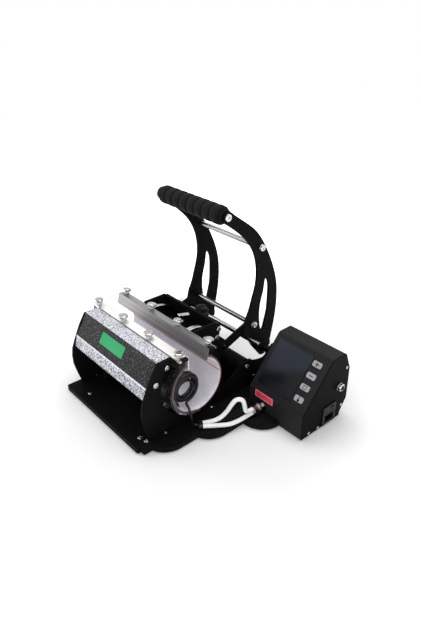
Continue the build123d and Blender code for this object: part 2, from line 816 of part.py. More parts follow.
def arm_sheet(start, thick):
    with BuildPart() as sheet:
        with BuildSketch(side_plane(start)):
            with BuildLine():
                back = Spline(*[arm_point(*p) for p in arm_back])
                front = Spline(*[arm_point(*p) for p in arm_front])
                tip = arm_point(GRIP_DY - ARM_END_R * 0.85, GRIP_DZ + ARM_END_R * 0.75)
                ThreePointArc(back @ 0, tip, front @ 0)
                chin = FilletPolyline(
                    front @ 1, arm_point(*ARM_CHIN), arm_point(*arm_heel[0]), radius=8
                )
                heel = Spline(*[arm_point(*p) for p in arm_heel])
                ThreePointArc(heel @ 1, arm_point(14, -12), back @ 1)
            make_face()
            with BuildLine():
                Spline(*[arm_point(*p) for p in slot_points], periodic=True)
            make_face(mode=Mode.SUBTRACT)
            with Locations(arm_point(0, 0)):
                Circle(AXLE_R + RUNNING, mode=Mode.SUBTRACT)
            with Locations(arm_point(ELBOW_DY, ELBOW_DZ)):
                Circle(ELBOW_R, mode=Mode.SUBTRACT)
            with Locations(arm_point(STOP_DY, STOP_DZ)):
                Circle(STOP_R, mode=Mode.SUBTRACT)
            with Locations(arm_point(UPPER_DY, UPPER_DZ)):
                Circle(UPPER_R, mode=Mode.SUBTRACT)
            with Locations(arm_point(GRIP_DY, GRIP_DZ)):
                Circle(GRIP_TUBE_R - GRIP_WALL, mode=Mode.SUBTRACT)
        extrude(amount=thick)
    return sheet


# Left and right arms: identical sheets of black steel, five millimetres thick
with BuildPart() as right_arm:
    add(arm_sheet(ARM_IN, ARM_THICK).part)
right_arm.part.label = "right_arm"
export_step(right_arm.part, "parts/right_arm.step")

with BuildPart() as left_arm:
    add(arm_sheet(-ARM_IN - ARM_THICK, ARM_THICK).part)
left_arm.part.label = "left_arm"
export_step(left_arm.part, "parts/left_arm.step")

# Rods across the arms, each with a domed nut at both ends
ARM_OUT = ARM_IN + ARM_THICK


def cross_rod(dy, dz, r, half, nut):
    with BuildPart() as rod:
        with BuildSketch(side_plane(-half)):
            with Locations(arm_point(dy, dz)):
                Circle(r)
        extrude(amount=2 * half)
        if nut:
            for side in (-1, 1):
                with BuildSketch(side_plane(side * ARM_OUT)):
                    with Locations(arm_point(dy, dz)):
                        Circle(NUT_R)
                extrude(amount=side * NUT_THICK)
            rims = rod.edges().filter_by(GeomType.CIRCLE).filter_by(lambda e: abs(e.radius - NUT_R) < 0.01)
            outer = [e for e in rims if abs(e.center().X - MID_X) > ARM_OUT + NUT_THICK / 2]
            fillet(outer, NUT_THICK * 0.5)
    return rod


with BuildPart() as upper_rod:
    add(cross_rod(UPPER_DY, UPPER_DZ, UPPER_R, ARM_OUT, True).part)
upper_rod.part.label = "upper_rod"
export_step(upper_rod.part, "parts/upper_rod.step")

with BuildPart() as elbow_rod:
    add(cross_rod(ELBOW_DY, ELBOW_DZ, ELBOW_R, ARM_OUT, True).part)
elbow_rod.part.label = "elbow_rod"
export_step(elbow_rod.part, "parts/elbow_rod.step")

with BuildPart() as stop_rod:
    add(cross_rod(STOP_DY, STOP_DZ, STOP_R, STOP_HALF, False).part)
    stop_ends = stop_rod.edges().filter_by(GeomType.CIRCLE)
    chamfer(stop_ends, 0.8)
stop_rod.part.label = "stop_rod"
export_step(stop_rod.part, "parts/stop_rod.step")

# Handle tube between the arms' tips, with a bolt head at each end
with BuildPart() as handle_tube:
    with BuildSketch(side_plane(-ARM_IN)):
        with Locations(arm_point(GRIP_DY, GRIP_DZ)):
            Circle(GRIP_TUBE_R)
    extrude(amount=2 * ARM_IN)
    with BuildSketch(side_plane(-ARM_OUT)):
        with Locations(arm_point(GRIP_DY, GRIP_DZ)):
            Circle(GRIP_TUBE_R - GRIP_WALL)
    extrude(amount=2 * ARM_OUT)
    for side in (-1, 1):
        with BuildSketch(side_plane(side * ARM_OUT)):
            with Locations(arm_point(GRIP_DY, GRIP_DZ)):
                Circle(GRIP_TUBE_R)
        extrude(amount=side * NUT_THICK)
handle_tube.part.label = "handle_tube"
export_step(handle_tube.part, "parts/handle_tube.step")

# Foam grip: a soft sleeve over the handle tube with moulded ribs
GRIP_HALF = ARM_IN - 2.0
rib_pitch = 2 * GRIP_HALF / GRIP_RIBS
with BuildPart() as foam_grip:
    with BuildSketch(side_plane(-GRIP_HALF)):
        with Locations(arm_point(GRIP_DY, GRIP_DZ)):
            Circle(GRIP_R)
            Circle(GRIP_TUBE_R, mode=Mode.SUBTRACT)
    extrude(amount=2 * GRIP_HALF)
    for n in range(1, GRIP_RIBS):
        with BuildSketch(side_plane(-GRIP_HALF + n * rib_pitch - GRIP_GROOVE)):
            with Locations(arm_point(GRIP_DY, GRIP_DZ)):
                Circle(GRIP_R + 1)
                Circle(GRIP_R - GRIP_GROOVE, mode=Mode.SUBTRACT)
        extrude(amount=2 * GRIP_GROOVE, mode=Mode.SUBTRACT)
foam_grip.part.label = "foam_grip"
export_step(foam_grip.part, "parts/foam_grip.step")

# Links: flat bars from the elbow rod to the carriage
elbow = arm_point(ELBOW_DY, ELBOW_DZ)
knee = (KNEE_Y, KNEE_Z)
link_length = math.dist(elbow, knee)
link_angle = math.degrees(math.atan2(elbow[1] - knee[1], elbow[0] - knee[0]))
link_centre = ((elbow[0] + knee[0]) / 2, (elbow[1] + knee[1]) / 2)
LINK_IN = ARM_IN - LINK_GAP - LINK_THICK


def link_bar(start):
    with BuildPart() as bar:
        with BuildSketch(side_plane(start)):
            with Locations(Location((*link_centre, 0), (0, 0, link_angle))):
                SlotCenterToCenter(link_length, 2 * LINK_HALF)
            with Locations(elbow):
                Circle(ELBOW_R + RUNNING, mode=Mode.SUBTRACT)
            with Locations(knee):
                Circle(LINK_BOLT_R, mode=Mode.SUBTRACT)
        extrude(amount=LINK_THICK)
    return bar


with BuildPart() as right_link:
    add(link_bar(LINK_IN).part)
right_link.part.label = "right_link"
export_step(right_link.part, "parts/right_link.step")

with BuildPart() as left_link:
    add(link_bar(-LINK_IN - LINK_THICK).part)
left_link.part.label = "left_link"
export_step(left_link.part, "parts/left_link.step")

# Link bolts: each is fixed in its link, passes the carriage plate and ends in a nut inside
LINK_OUT = LINK_IN + LINK_THICK
PLATE_OUT = LINK_IN - LINK_GAP
PLATE_IN = PLATE_OUT - PLATE_THICK
with BuildPart() as link_bolts:
    for side in (-1, 1):
        with BuildSketch(side_plane(side * (PLATE_IN - LINK_GAP - LINK_HEAD))):
            with Locations(knee):
                Circle(LINK_BOLT_R)
        extrude(amount=side * (LINK_OUT + 0.01 - PLATE_IN + LINK_GAP + LINK_HEAD))
        with BuildSketch(side_plane(side * (PLATE_IN - LINK_GAP))):
            with Locations(knee):
                RegularPolygon(LINK_HEAD_R + 2.5, 6)
        extrude(amount=-side * LINK_HEAD)
        with BuildSketch(side_plane(side * LINK_OUT)):
            with Locations(knee):
                Circle(LINK_HEAD_R)
        extrude(amount=side * LINK_HEAD)
link_bolts.part.label = "link_bolts"
export_step(link_bolts.part, "parts/link_bolts.step")

# Rear saddle: the half trough that pushes the mat round the tumbler from behind
with BuildPart() as rear_saddle:
    with BuildSketch(side_plane(-PLATE_IN)):
        with BuildLine():
            r_out = SADDLE_R + SADDLE_SHEET
            half_way = (REAR_START + REAR_END) / 2
            ThreePointArc(
                bore_point(r_out, REAR_START), bore_point(r_out, half_way), bore_point(r_out, REAR_END)
            )
            Line(bore_point(r_out, REAR_END), bore_point(SADDLE_R, REAR_END))
            ThreePointArc(
                bore_point(SADDLE_R, REAR_END), bore_point(SADDLE_R, half_way), bore_point(SADDLE_R, REAR_START)
            )
            Line(bore_point(SADDLE_R, REAR_START), bore_point(r_out, REAR_START))
        make_face()
    extrude(amount=2 * PLATE_IN)
rear_saddle.part.label = "rear_saddle"
export_step(rear_saddle.part, "parts/rear_saddle.step")

# Carriage side plates with the blocks that run on the guide rods
wrap = SADDLE_R + SADDLE_SHEET
with BuildPart() as carriage_sides:
    for side in (-1, 1):
        with BuildSketch(side_plane(side * PLATE_IN)):
            with BuildLine():
                wrap_mid = bore_point(wrap, (REAR_START + REAR_END) / 2)
                ThreePointArc(bore_point(wrap, REAR_START), wrap_mid, bore_point(wrap, REAR_END - 1.5))
                Polyline(
                    bore_point(wrap, REAR_END - 1.5),
                    lean_point(bar_rear + 2 * SLIP, bar_low - SLIP),
                    lean_point(bar_rear + 2 * SLIP, 0),
                    (lean_point(bar_rear + 2 * SLIP, 0)[0] + 2, TRAY_TOP),
                    (TRAY_REAR + TRAY_SHEET, TRAY_TOP),
                    (TRAY_REAR + 14, 150),
                    (TRAY_REAR + 11, 128),
                    (KNEE_Y + 6, KNEE_Z + 12),
                    (KNEE_Y + 9.5, KNEE_Z + 4),
                    (KNEE_Y + 9.5, KNEE_Z - 4),
                    (KNEE_Y + 4, KNEE_Z - 12),
                    (BLOCK_REAR - 2, 70),
                    (BLOCK_REAR, ROD_Z - BLOCK_HALF),
                    (BLOCK_FRONT, ROD_Z - BLOCK_HALF),
                    (BLOCK_FRONT - 4, 48),
                    (bore_point(wrap, REAR_START)[0] + 8, 48),
                    bore_point(wrap, REAR_START),
                )
            make_face()
            with Locations(knee):
                Circle(LINK_BOLT_R + KNEE_CLEARANCE, mode=Mode.SUBTRACT)
        extrude(amount=side * PLATE_THICK)
        with BuildSketch(front_plane(BLOCK_FRONT)):
            block_width = PLATE_IN - ROD_X + BLOCK_HALF
            with Locations((side * (PLATE_IN - block_width / 2), ROD_Z)):
                Rectangle(block_width, 2 * BLOCK_HALF)
            with Locations((side * ROD_X, ROD_Z)):
                Circle(ROD_R + RUNNING, mode=Mode.SUBTRACT)
        extrude(amount=-(BLOCK_REAR - BLOCK_FRONT))
carriage_sides.part.label = "carriage_sides"
export_step(carriage_sides.part, "parts/carriage_sides.step")

# Carriage tray: folded sheet with a floor and a rear wall, and two arched straps that
# run from behind the clamp bar down to the rear wall
floor_front = BORE_Y + math.sqrt(wrap * wrap - (TRAY_FLOOR - BORE_Z) ** 2) + SLIP
with BuildPart() as carriage_tray:
    with BuildSketch(side_plane(-PLATE_IN)):
        with BuildLine():
            Polyline(
                (floor_front, TRAY_FLOOR),
                (floor_front, TRAY_FLOOR + TRAY_SHEET),
                (TRAY_REAR, TRAY_FLOOR + TRAY_SHEET),
                (TRAY_REAR, TRAY_TOP),
                (TRAY_REAR + TRAY_LIP, TRAY_TOP),
                (TRAY_REAR + TRAY_LIP, TRAY_TOP - TRAY_SHEET),
                (TRAY_REAR + TRAY_SHEET, TRAY_TOP - TRAY_SHEET),
                (TRAY_REAR + TRAY_SHEET, TRAY_FLOOR - TRAY_SKIRT),
                (TRAY_REAR, TRAY_FLOOR - TRAY_SKIRT),
                (TRAY_REAR, TRAY_FLOOR),
                close=True,
            )
        make_face()
    extrude(amount=2 * PLATE_IN)
    for side in (-1, 1):
        with BuildSketch(side_plane(side * STRAP_X - STRAP_WIDTH / 2)):
            with BuildLine():
                strap_front = lean_point(bar_rear + SLIP, -STRAP_DROP)
                strap_end = (TRAY_REAR, STRAP_END_Z)
                ThreePointArc(strap_front, (STRAP_CROWN_Y, STRAP_CROWN_Z), strap_end)
                Line(strap_end, (TRAY_REAR, STRAP_END_Z - STRAP_THICK))
                ThreePointArc(
                    (TRAY_REAR, STRAP_END_Z - STRAP_THICK),
                    (STRAP_CROWN_Y, STRAP_CROWN_Z - STRAP_THICK),
                    (strap_front[0], strap_front[1] - STRAP_THICK),
                )
                Line((strap_front[0], strap_front[1] - STRAP_THICK), strap_front)
            make_face()
        extrude(amount=STRAP_WIDTH)
    with BuildSketch(adjust_plane(0)):
        Circle(ADJUST_R + THREAD_GAP)
    extrude(amount=TRAY_LIP - 1, both=True, mode=Mode.SUBTRACT)
carriage_tray.part.label = "carriage_tray"
export_step(carriage_tray.part, "parts/carriage_tray.step")

# Carriage bolts: two on each side hold the tray between the side plates
bolt_spots = [(TRAY_REAR + BOLT_BACK, BOLT_HIGH), (TRAY_REAR + BOLT_BACK / 2, BOLT_LOW)]
with BuildPart() as carriage_bolts:
    for side in (-1, 1):
        with BuildSketch(side_plane(side * PLATE_OUT)):
            with Locations(*bolt_spots):
                Circle(CARRIAGE_HEAD_R)
        extrude(amount=side * CARRIAGE_HEAD)
carriage_bolts.part.label = "carriage_bolts"
export_step(carriage_bolts.part, "parts/carriage_bolts.step")

# Pressure knob: a lobed knob with its screw, threaded through the tray's rear wall
with BuildPart() as pressure_knob:
    with BuildSketch(adjust_plane(-ADJUST_REACH)):
        Circle(ADJUST_R)
    extrude(amount=ADJUST_REACH + KNOB_STANDOFF + KNOB_THICK / 2)
    with BuildSketch(adjust_plane(KNOB_STANDOFF)):
        Circle(KNOB_R - KNOB_LOBE_R * 0.6)
        with PolarLocations(KNOB_R - KNOB_LOBE_R, KNOB_LOBES):
            Circle(KNOB_LOBE_R)
    extrude(amount=KNOB_THICK)
pressure_knob.part.label = "pressure_knob"
export_step(pressure_knob.part, "parts/pressure_knob.step")

# Frame screws: side plate bolts, cross tube bolts and the screws in the pan
FRAME_BOLT_R = 5.5
FRAME_BOLT_HEAD = 3.0
SMALL_SCREW_R = 3.5
SMALL_SCREW_HEAD = 2.0
PAN_SCREW_R = 4.5
PAN_SCREW_HEAD = 2.5
frame_spots = [(73, 146), (48, 122.5), (TUBE_Y, TUBE_Z)]
lower_spot = (TUBE_Y + 22, 30)
pan_spots = [(-66, 20), (101, 20), (115, 24)]
foot_screw_right = SIDE_IN + SIDE_THICK + (SIDE_FOOT - SIDE_THICK) / 2
foot_screw_left = -SIDE_IN + (SIDE_FOOT - SIDE_THICK) / 2
foot_screw_spots = [
    (x, y)
    for x in (foot_screw_left, foot_screw_right)
    for y in (SIDE_FOOT_FRONT + 20, SIDE_FOOT_REAR - 13)
]
with BuildPart() as frame_screws:
    for side in (-1, 1):
        with BuildSketch(side_plane(side * (SIDE_IN + SIDE_THICK))):
            with Locations(*frame_spots):
                Circle(FRAME_BOLT_R)
        extrude(amount=side * FRAME_BOLT_HEAD)
        with BuildSketch(side_plane(side * (SIDE_IN + SIDE_THICK))):
            with Locations(lower_spot):
                Circle(SMALL_SCREW_R)
        extrude(amount=side * SMALL_SCREW_HEAD)
    with BuildSketch(floor_plane(PAN_TOP)):
        with Locations(*pan_spots):
            Circle(PAN_SCREW_R)
    extrude(amount=PAN_SCREW_HEAD)
    with BuildSketch(floor_plane(PAN_TOP + SIDE_FOOT_THICK)):
        with Locations(*foot_screw_spots):
            Circle(SMALL_SCREW_R)
    extrude(amount=PAN_SCREW_HEAD)
frame_screws.part.label = "frame_screws"
export_step(frame_screws.part, "parts/frame_screws.step")

# Control box: a bent steel cover with its left end, sloped for the panel
box_profile = [
    (BOX_FRONT, BOX_LIFT),
    (BOX_FRONT, NOSE_Z),
    (CREST_Y, BOX_TOP),
    (CREST_Y + CREST_DEPTH, BOX_TOP),
    (BOX_BACK - 2, 104),
    (BOX_BACK, 36),
    (BOX_BACK - 15, 11),
    (BOX_BACK - 17, BOX_LIFT),
]
box_bends = [1, BOX_BEND, BOX_BEND, 5, BOX_BEND, 6, 3, 1]
slope_length = math.dist(box_profile[1], box_profile[2])
slope_run = (CREST_Y - BOX_FRONT) / slope_length
slope_rise = (BOX_TOP - NOSE_Z) / slope_length


# The plane of the sloped face: its x runs right and its y runs up the slope
def slope_plane(lift):
    return Plane(
        origin=(
            MID_X + BOX_LEFT,
            FRONT_Y + BOX_FRONT - lift * slope_rise,
            NOSE_Z + lift * slope_run,
        ),
        x_dir=(1, 0, 0),
        z_dir=(0, -slope_rise, slope_run),
    )


key_rows = [KEY_LOW + n * KEY_PITCH for n in range(4)]
with BuildPart() as box_shell:
    with BuildSketch(side_plane(BOX_LEFT)) as profile:
        with BuildLine():
            FilletPolyline(*box_profile, radius=box_bends, close=True)
        make_face()
    extrude(amount=BOX_WIDTH - BOX_SHEET)
    with BuildSketch(side_plane(BOX_LEFT + BOX_SHEET)):
        add(profile.sketch_local)
        offset(amount=-BOX_SHEET, kind=Kind.INTERSECTION, mode=Mode.REPLACE)
    extrude(amount=BOX_WIDTH, mode=Mode.SUBTRACT)
    with BuildSketch(slope_plane(0)):
        with Locations(*[(KEY_X, row) for row in key_rows]):
            RectangleRounded(KEY_WIDTH + 2 * KEY_GAP, KEY_HEIGHT + 2 * KEY_GAP, KEY_CORNER)
    extrude(amount=-BOX_SHEET, mode=Mode.SUBTRACT)
    with BuildSketch(front_plane(BOX_FRONT)):
        with Locations((PLUG_X, PLUG_Z)):
            Circle(PLUG_R)
    extrude(amount=-BOX_SHEET, mode=Mode.SUBTRACT)
box_shell.part.label = "box_shell"
export_step(box_shell.part, "parts/box_shell.step")

# Right end of the box: a flat plate with cut-outs for the inlet and the fuse holder
with BuildPart() as right_box_end:
    with BuildSketch(side_plane(BOX_RIGHT - BOX_SHEET)):
        with BuildLine():
            FilletPolyline(*box_profile, radius=box_bends, close=True)
        make_face()
        with Locations((INLET_Y, INLET_Z)):
            Rectangle(
                INLET_WIDTH - 2 * INLET_RIM + 2 * SLIP,
                INLET_HEIGHT - 2 * INLET_RIM + 2 * SLIP,
                mode=Mode.SUBTRACT,
            )
        with Locations((FITTING_Y, FITTING_Z)):
            Circle(FITTING_R - FITTING_WALL, mode=Mode.SUBTRACT)
    extrude(amount=BOX_SHEET)
right_box_end.part.label = "right_box_end"
export_step(right_box_end.part, "parts/right_box_end.step")

# Control panel: a thin overlay on the slope with openings for the keys and the window
with BuildPart() as control_panel:
    with BuildSketch(slope_plane(0)):
        with Locations((BOX_WIDTH / 2, slope_length / 2)):
            RectangleRounded(BOX_WIDTH - 2 * PANEL_INSET, slope_length - 2 * PANEL_MARGIN, PANEL_MARGIN)
        with Locations(*[(KEY_X, row) for row in key_rows]):
            RectangleRounded(
                KEY_WIDTH + 2 * KEY_GAP, KEY_HEIGHT + 2 * KEY_GAP, KEY_CORNER, mode=Mode.SUBTRACT
            )
    extrude(amount=PANEL_FILM)
control_panel.part.label = "control_panel"
export_step(control_panel.part, "parts/control_panel.step")

# Display window: a dark pane on the overlay
with BuildPart() as display_window:
    with BuildSketch(slope_plane(PANEL_FILM)):
        with Locations((GLASS_LEFT + GLASS_WIDTH / 2, (GLASS_LOW + GLASS_HIGH) / 2)):
            RectangleRounded(GLASS_WIDTH, GLASS_HIGH - GLASS_LOW, 3)
    extrude(amount=GLASS_THICK)
display_window.part.label = "display_window"
export_step(display_window.part, "parts/display_window.step")

# Keys: four sprung caps that stand a little proud of the panel and press in
for key_name, row in zip(("timer_key", "mode_key", "down_key", "up_key"), key_rows):
    with BuildPart() as key:
        with BuildSketch(slope_plane(-BOX_SHEET - KEY_STEM)):
            with Locations((KEY_X, row)):
                RectangleRounded(KEY_WIDTH, KEY_HEIGHT, KEY_CORNER)
        extrude(amount=BOX_SHEET + KEY_STEM + PANEL_FILM + KEY_PROUD)
        cap = key.faces().sort_by(Axis((0, 0, 0), (0, -slope_rise, slope_run)))[-1]
        fillet(cap.edges(), KEY_EDGE)
    key.part.label = key_name
    export_step(key.part, f"parts/{key_name}.step")

# Circuit board behind the keys, on the slope's inner side
SWITCH_SIZE = 6.0
SWITCH_HEIGHT = 1.5
KEY_TRAVEL = 1.0
BOARD_THICK = 1.6
BOARD_MARGIN = 6.0
BOARD_LOW = 15.0
BOARD_HIGH = 19.0
POST_R = 3.0
POST_INSET = 4.0
BOARD_DROP = BOX_SHEET + KEY_STEM + KEY_TRAVEL + SWITCH_HEIGHT
post_xs = (BOARD_MARGIN + POST_INSET, BOX_WIDTH - BOARD_MARGIN - POST_INSET)
post_rows = (BOARD_LOW + POST_INSET, slope_length - BOARD_HIGH - POST_INSET)
with BuildPart() as circuit_board:
    with BuildSketch(slope_plane(-BOARD_DROP)):
        with Locations((BOX_WIDTH / 2, (BOARD_LOW + slope_length - BOARD_HIGH) / 2)):
            Rectangle(BOX_WIDTH - 2 * BOARD_MARGIN, slope_length - BOARD_HIGH - BOARD_LOW)
    extrude(amount=-BOARD_THICK)
    with BuildSketch(slope_plane(-BOARD_DROP)):
        with Locations(*[(KEY_X, row) for row in key_rows]):
            Rectangle(SWITCH_SIZE, SWITCH_SIZE)
    extrude(amount=SWITCH_HEIGHT)
    with BuildSketch(slope_plane(-BOX_SHEET)):
        with Locations(*[(x, row) for x in post_xs for row in post_rows]):
            Circle(POST_R)
    extrude(amount=BOX_SHEET - BOARD_DROP)
circuit_board.part.label = "circuit_board"
export_step(circuit_board.part, "parts/circuit_board.step")

# Mains inlet: a moulded block with a socket below and room for the rocker above
inlet_body_width = INLET_WIDTH - 2 * INLET_RIM
inlet_body_height = INLET_HEIGHT - 2 * INLET_RIM
with BuildPart() as power_inlet:
    for width, height, depth in (
        (INLET_WIDTH, INLET_HEIGHT, INLET_FLANGE),
        (inlet_body_width, inlet_body_height, -INLET_DEPTH),
    ):
        with BuildSketch(side_plane(BOX_RIGHT)):
            with Locations((INLET_Y, INLET_Z)):
                Rectangle(width, height)
                with Locations((0, -SOCKET_DROP)):
                    Rectangle(SOCKET_WIDTH, SOCKET_HEIGHT, mode=Mode.SUBTRACT)
                with Locations((0, ROCKER_RISE)):
                    Rectangle(
                        ROCKER_WIDTH + 2 * ROCKER_GAP,
                        ROCKER_HEIGHT + 2 * ROCKER_GAP,
                        mode=Mode.SUBTRACT,
                    )
        extrude(amount=depth)
    with BuildSketch(side_plane(BOX_RIGHT - INLET_DEPTH)):
        with Locations((INLET_Y, INLET_Z)):
            Rectangle(inlet_body_width, inlet_body_height)
    extrude(amount=-INLET_BACK)
    with BuildSketch(side_plane(BOX_RIGHT - INLET_DEPTH)):
        with Locations(*[(INLET_Y + n * PIN_PITCH, INLET_Z - SOCKET_DROP) for n in (-1, 0, 1)]):
            Rectangle(PIN_WIDTH, PIN_HEIGHT)
    extrude(amount=PIN_LENGTH)
power_inlet.part.label = "power_inlet"
export_step(power_inlet.part, "parts/power_inlet.step")

# Rocker: two facets that meet at its middle, tilted to its off side
tilt = math.radians(ROCKER_TILT)
rocker_pivot = BOX_RIGHT - ROCKER_SEAT
half = ROCKER_WIDTH / 2
with BuildPart() as rocker:
    with BuildSketch(floor_plane(INLET_Z + ROCKER_RISE - ROCKER_HEIGHT / 2)):
        with BuildLine():
            face_x = rocker_pivot + ROCKER_FACE
            Polyline(
                (face_x + half * math.sin(tilt) * 1.6, INLET_Y + half * 0.9),
                (face_x, INLET_Y),
                (face_x - half * math.sin(tilt) * 0.25, INLET_Y - half * 0.92),
                (rocker_pivot - ROCKER_FACE, INLET_Y - half * 0.85),
                (rocker_pivot - ROCKER_FACE - ROCKER_SEAT, INLET_Y),
                (rocker_pivot - ROCKER_SEAT, INLET_Y + half * 0.9),
                close=True,
            )
        make_face()
    extrude(amount=ROCKER_HEIGHT)
rocker.part.label = "rocker"
export_step(rocker.part, "parts/rocker.step")

# Fuse holder: a chrome fitting with a fluted cap
FLUTE_R = 2.0
FLUTES = 6
with BuildPart() as fuse_holder:
    with BuildSketch(side_plane(BOX_RIGHT)):
        with Locations((FITTING_Y, FITTING_Z)):
            Circle(FITTING_R - FLUTE_R / 2)
            with PolarLocations(FITTING_R - FLUTE_R, FLUTES):
                Circle(FLUTE_R)
    extrude(amount=FITTING_PROUD)
    with BuildSketch(side_plane(BOX_RIGHT)):
        with Locations((FITTING_Y, FITTING_Z)):
            Circle(FITTING_R - FITTING_WALL)
    extrude(amount=-FITTING_DEPTH)
fuse_holder.part.label = "fuse_holder"
export_step(fuse_holder.part, "parts/fuse_holder.step")

# Round connector: a flanged socket in the box's front and the plug screwed on it
with BuildPart() as connector_socket:
    with BuildSketch(front_plane(BOX_FRONT)):
        with Locations((PLUG_X, PLUG_Z)):
            Circle(SOCKET_R)
    extrude(amount=SOCKET_FLANGE)
    with BuildSketch(front_plane(BOX_FRONT)):
        with Locations((PLUG_X, PLUG_Z)):
            Circle(PLUG_R)
    extrude(amount=-SOCKET_DEPTH)
    with BuildSketch(front_plane(BOX_FRONT)):
        with Locations((PLUG_X, PLUG_Z)):
            Circle(PLUG_R - SOCKET_NECK)
    extrude(amount=SOCKET_PROUD)
connector_socket.part.label = "connector_socket"
export_step(connector_socket.part, "parts/connector_socket.step")

plug_back = BOX_FRONT - SOCKET_PROUD
with BuildPart() as connector_plug:
    with BuildSketch(front_plane(plug_back)):
        with Locations((PLUG_X, PLUG_Z)):
            Circle(PLUG_R)
    extrude(amount=PLUG_LENGTH * 0.55)
    with BuildSketch(front_plane(plug_back - PLUG_LENGTH * 0.55)):
        with Locations((PLUG_X, PLUG_Z)):
            Circle(PLUG_TAIL_R)
    extrude(amount=PLUG_LENGTH * 0.45)
connector_plug.part.label = "connector_plug"
export_step(connector_plug.part, "parts/connector_plug.step")

# Box screws: small heads at the corners of the right end
with BuildPart() as box_screws:
    with BuildSketch(side_plane(BOX_RIGHT)):
        with Locations(*BOX_SCREW_SPOTS):
            Circle(BOX_SCREW_R)
    extrude(amount=BOX_SCREW_HEAD)
box_screws.part.label = "box_screws"
export_step(box_screws.part, "parts/box_screws.step")

# Plain green plate on the shell's sloped front
shell_low = shell_path[2]
shell_high = shell_path[1]
facet_length = math.dist(shell_low, shell_high)
facet_run = (shell_high[0] - shell_low[0]) / facet_length
facet_rise = (shell_high[1] - shell_low[1]) / facet_length
GREEN_UP = 27.0
facet_plane = Plane(
    origin=(MID_X, FRONT_Y + shell_low[0], shell_low[1]),
    x_dir=(1, 0, 0),
    z_dir=(0, -facet_rise, facet_run),
)
with BuildPart() as green_plate:
    with BuildSketch(facet_plane):
        with Locations((GREEN_X, GREEN_UP)):
            RectangleRounded(GREEN_WIDTH, GREEN_HEIGHT, 2)
    extrude(amount=PLATE_FILM)
green_plate.part.label = "green_plate"
export_step(green_plate.part, "parts/green_plate.step")

# Plain red plate on the box's front
with BuildPart() as red_plate:
    with BuildSketch(front_plane(BOX_FRONT)):
        with Locations((RED_X, RED_Z)):
            RectangleRounded(RED_WIDTH, RED_HEIGHT, 1.5)
    extrude(amount=PLATE_FILM)
red_plate.part.label = "red_plate"
export_step(red_plate.part, "parts/red_plate.step")

# Leads: two white sleeved leads from the plug, one in a standing loop and one on the pan
plug_end = plug_back - PLUG_LENGTH
collar_x, collar_y = 151.0, 122.0
aim = (-0.6, -0.8)
side_step = (0.8 * LEAD_STEP / 2, -0.6 * LEAD_STEP / 2)
upper_end = (collar_x - side_step[0], collar_y - side_step[1])
lower_end = (collar_x + side_step[0], collar_y + side_step[1])
upper_route = [
    (PLUG_X, plug_end, PLUG_Z + LEAD_STEP / 2),
    (PLUG_X, plug_end - 17, PLUG_Z + LEAD_STEP / 2),
    (PLUG_X - 1, plug_end - 19, 46),
    (183.5, 188, 59),
    (177, 178, 61),
    (172.5, 170, 49),
    (169, 162, 34),
    (upper_end[0] + 14.4, upper_end[1] + 19.2, LEAD_REST + 3),
    (upper_end[0], upper_end[1], LEAD_REST),
]
lower_route = [
    (PLUG_X, plug_end, PLUG_Z - LEAD_STEP / 2),
    (PLUG_X, plug_end - 16, PLUG_Z - LEAD_STEP / 2),
    (184.5, 175, 16.6),
    (181, 157, 16.6),
    (lower_end[0] + 12, lower_end[1] + 16, LEAD_REST),
    (lower_end[0], lower_end[1], LEAD_REST),
]
tail_start = (collar_x + aim[0] * COLLAR_LENGTH, collar_y + aim[1] * COLLAR_LENGTH)
coil_reach = MAT_R - COIL_R - SLIP
coil_y, coil_z = bore_point(coil_reach, COIL_SIDE)
coil_mid = (COIL_R + COIL_CORE_R) / 2
exit_angle = math.radians(COIL_EXIT)
tail_meet = (coil_y + coil_mid * math.cos(exit_angle), coil_z + coil_mid * math.sin(exit_angle))
tail_route = [
    (tail_start[0], tail_start[1], LEAD_REST),
    (tail_start[0] + aim[0] * 9, tail_start[1] + aim[1] * 9, LEAD_REST),
    (MAT_HALF + 8.5, tail_meet[0], tail_meet[1]),
    (COIL_RIGHT, tail_meet[0], tail_meet[1]),
]


# The largest radii that a route's runs allow at its corners
def bend_radii(route):
    radii = []
    for before, here, after in zip(route, route[1:], route[2:]):
        run_in = Vector(*here) - Vector(*before)
        run_out = Vector(*after) - Vector(*here)
        turn = math.radians(run_in.get_angle(run_out))
        radii.append(0.45 * min(run_in.length, run_out.length) / math.tan(turn / 2))
    return radii


# A lead's tube along its route, drawn in the press's own frame
def lead_tube(route, r):
    placed = [(MID_X + x, FRONT_Y + y, z) for x, y, z in route]
    radii = bend_radii(placed)
    print("bend radii", [round(v, 1) for v in radii], "lead diameter", 2 * r)
    with BuildPart() as tube:
        with BuildLine() as path:
            FilletPolyline(*placed, radius=radii)
        with BuildSketch(Plane(origin=path.line @ 0, z_dir=path.line % 0)):
            Circle(r)
        sweep(path=path.line)
    print("volume over section times length", tube.part.volume / (math.pi * r * r * sum(e.length for e in path.edges())))
    return tube


with BuildPart() as white_leads:
    add(lead_tube(upper_route, LEAD_R).part)
    add(lead_tube(lower_route, LEAD_R).part)
white_leads.part.label = "white_leads"
export_step(white_leads.part, "parts/white_leads.step")

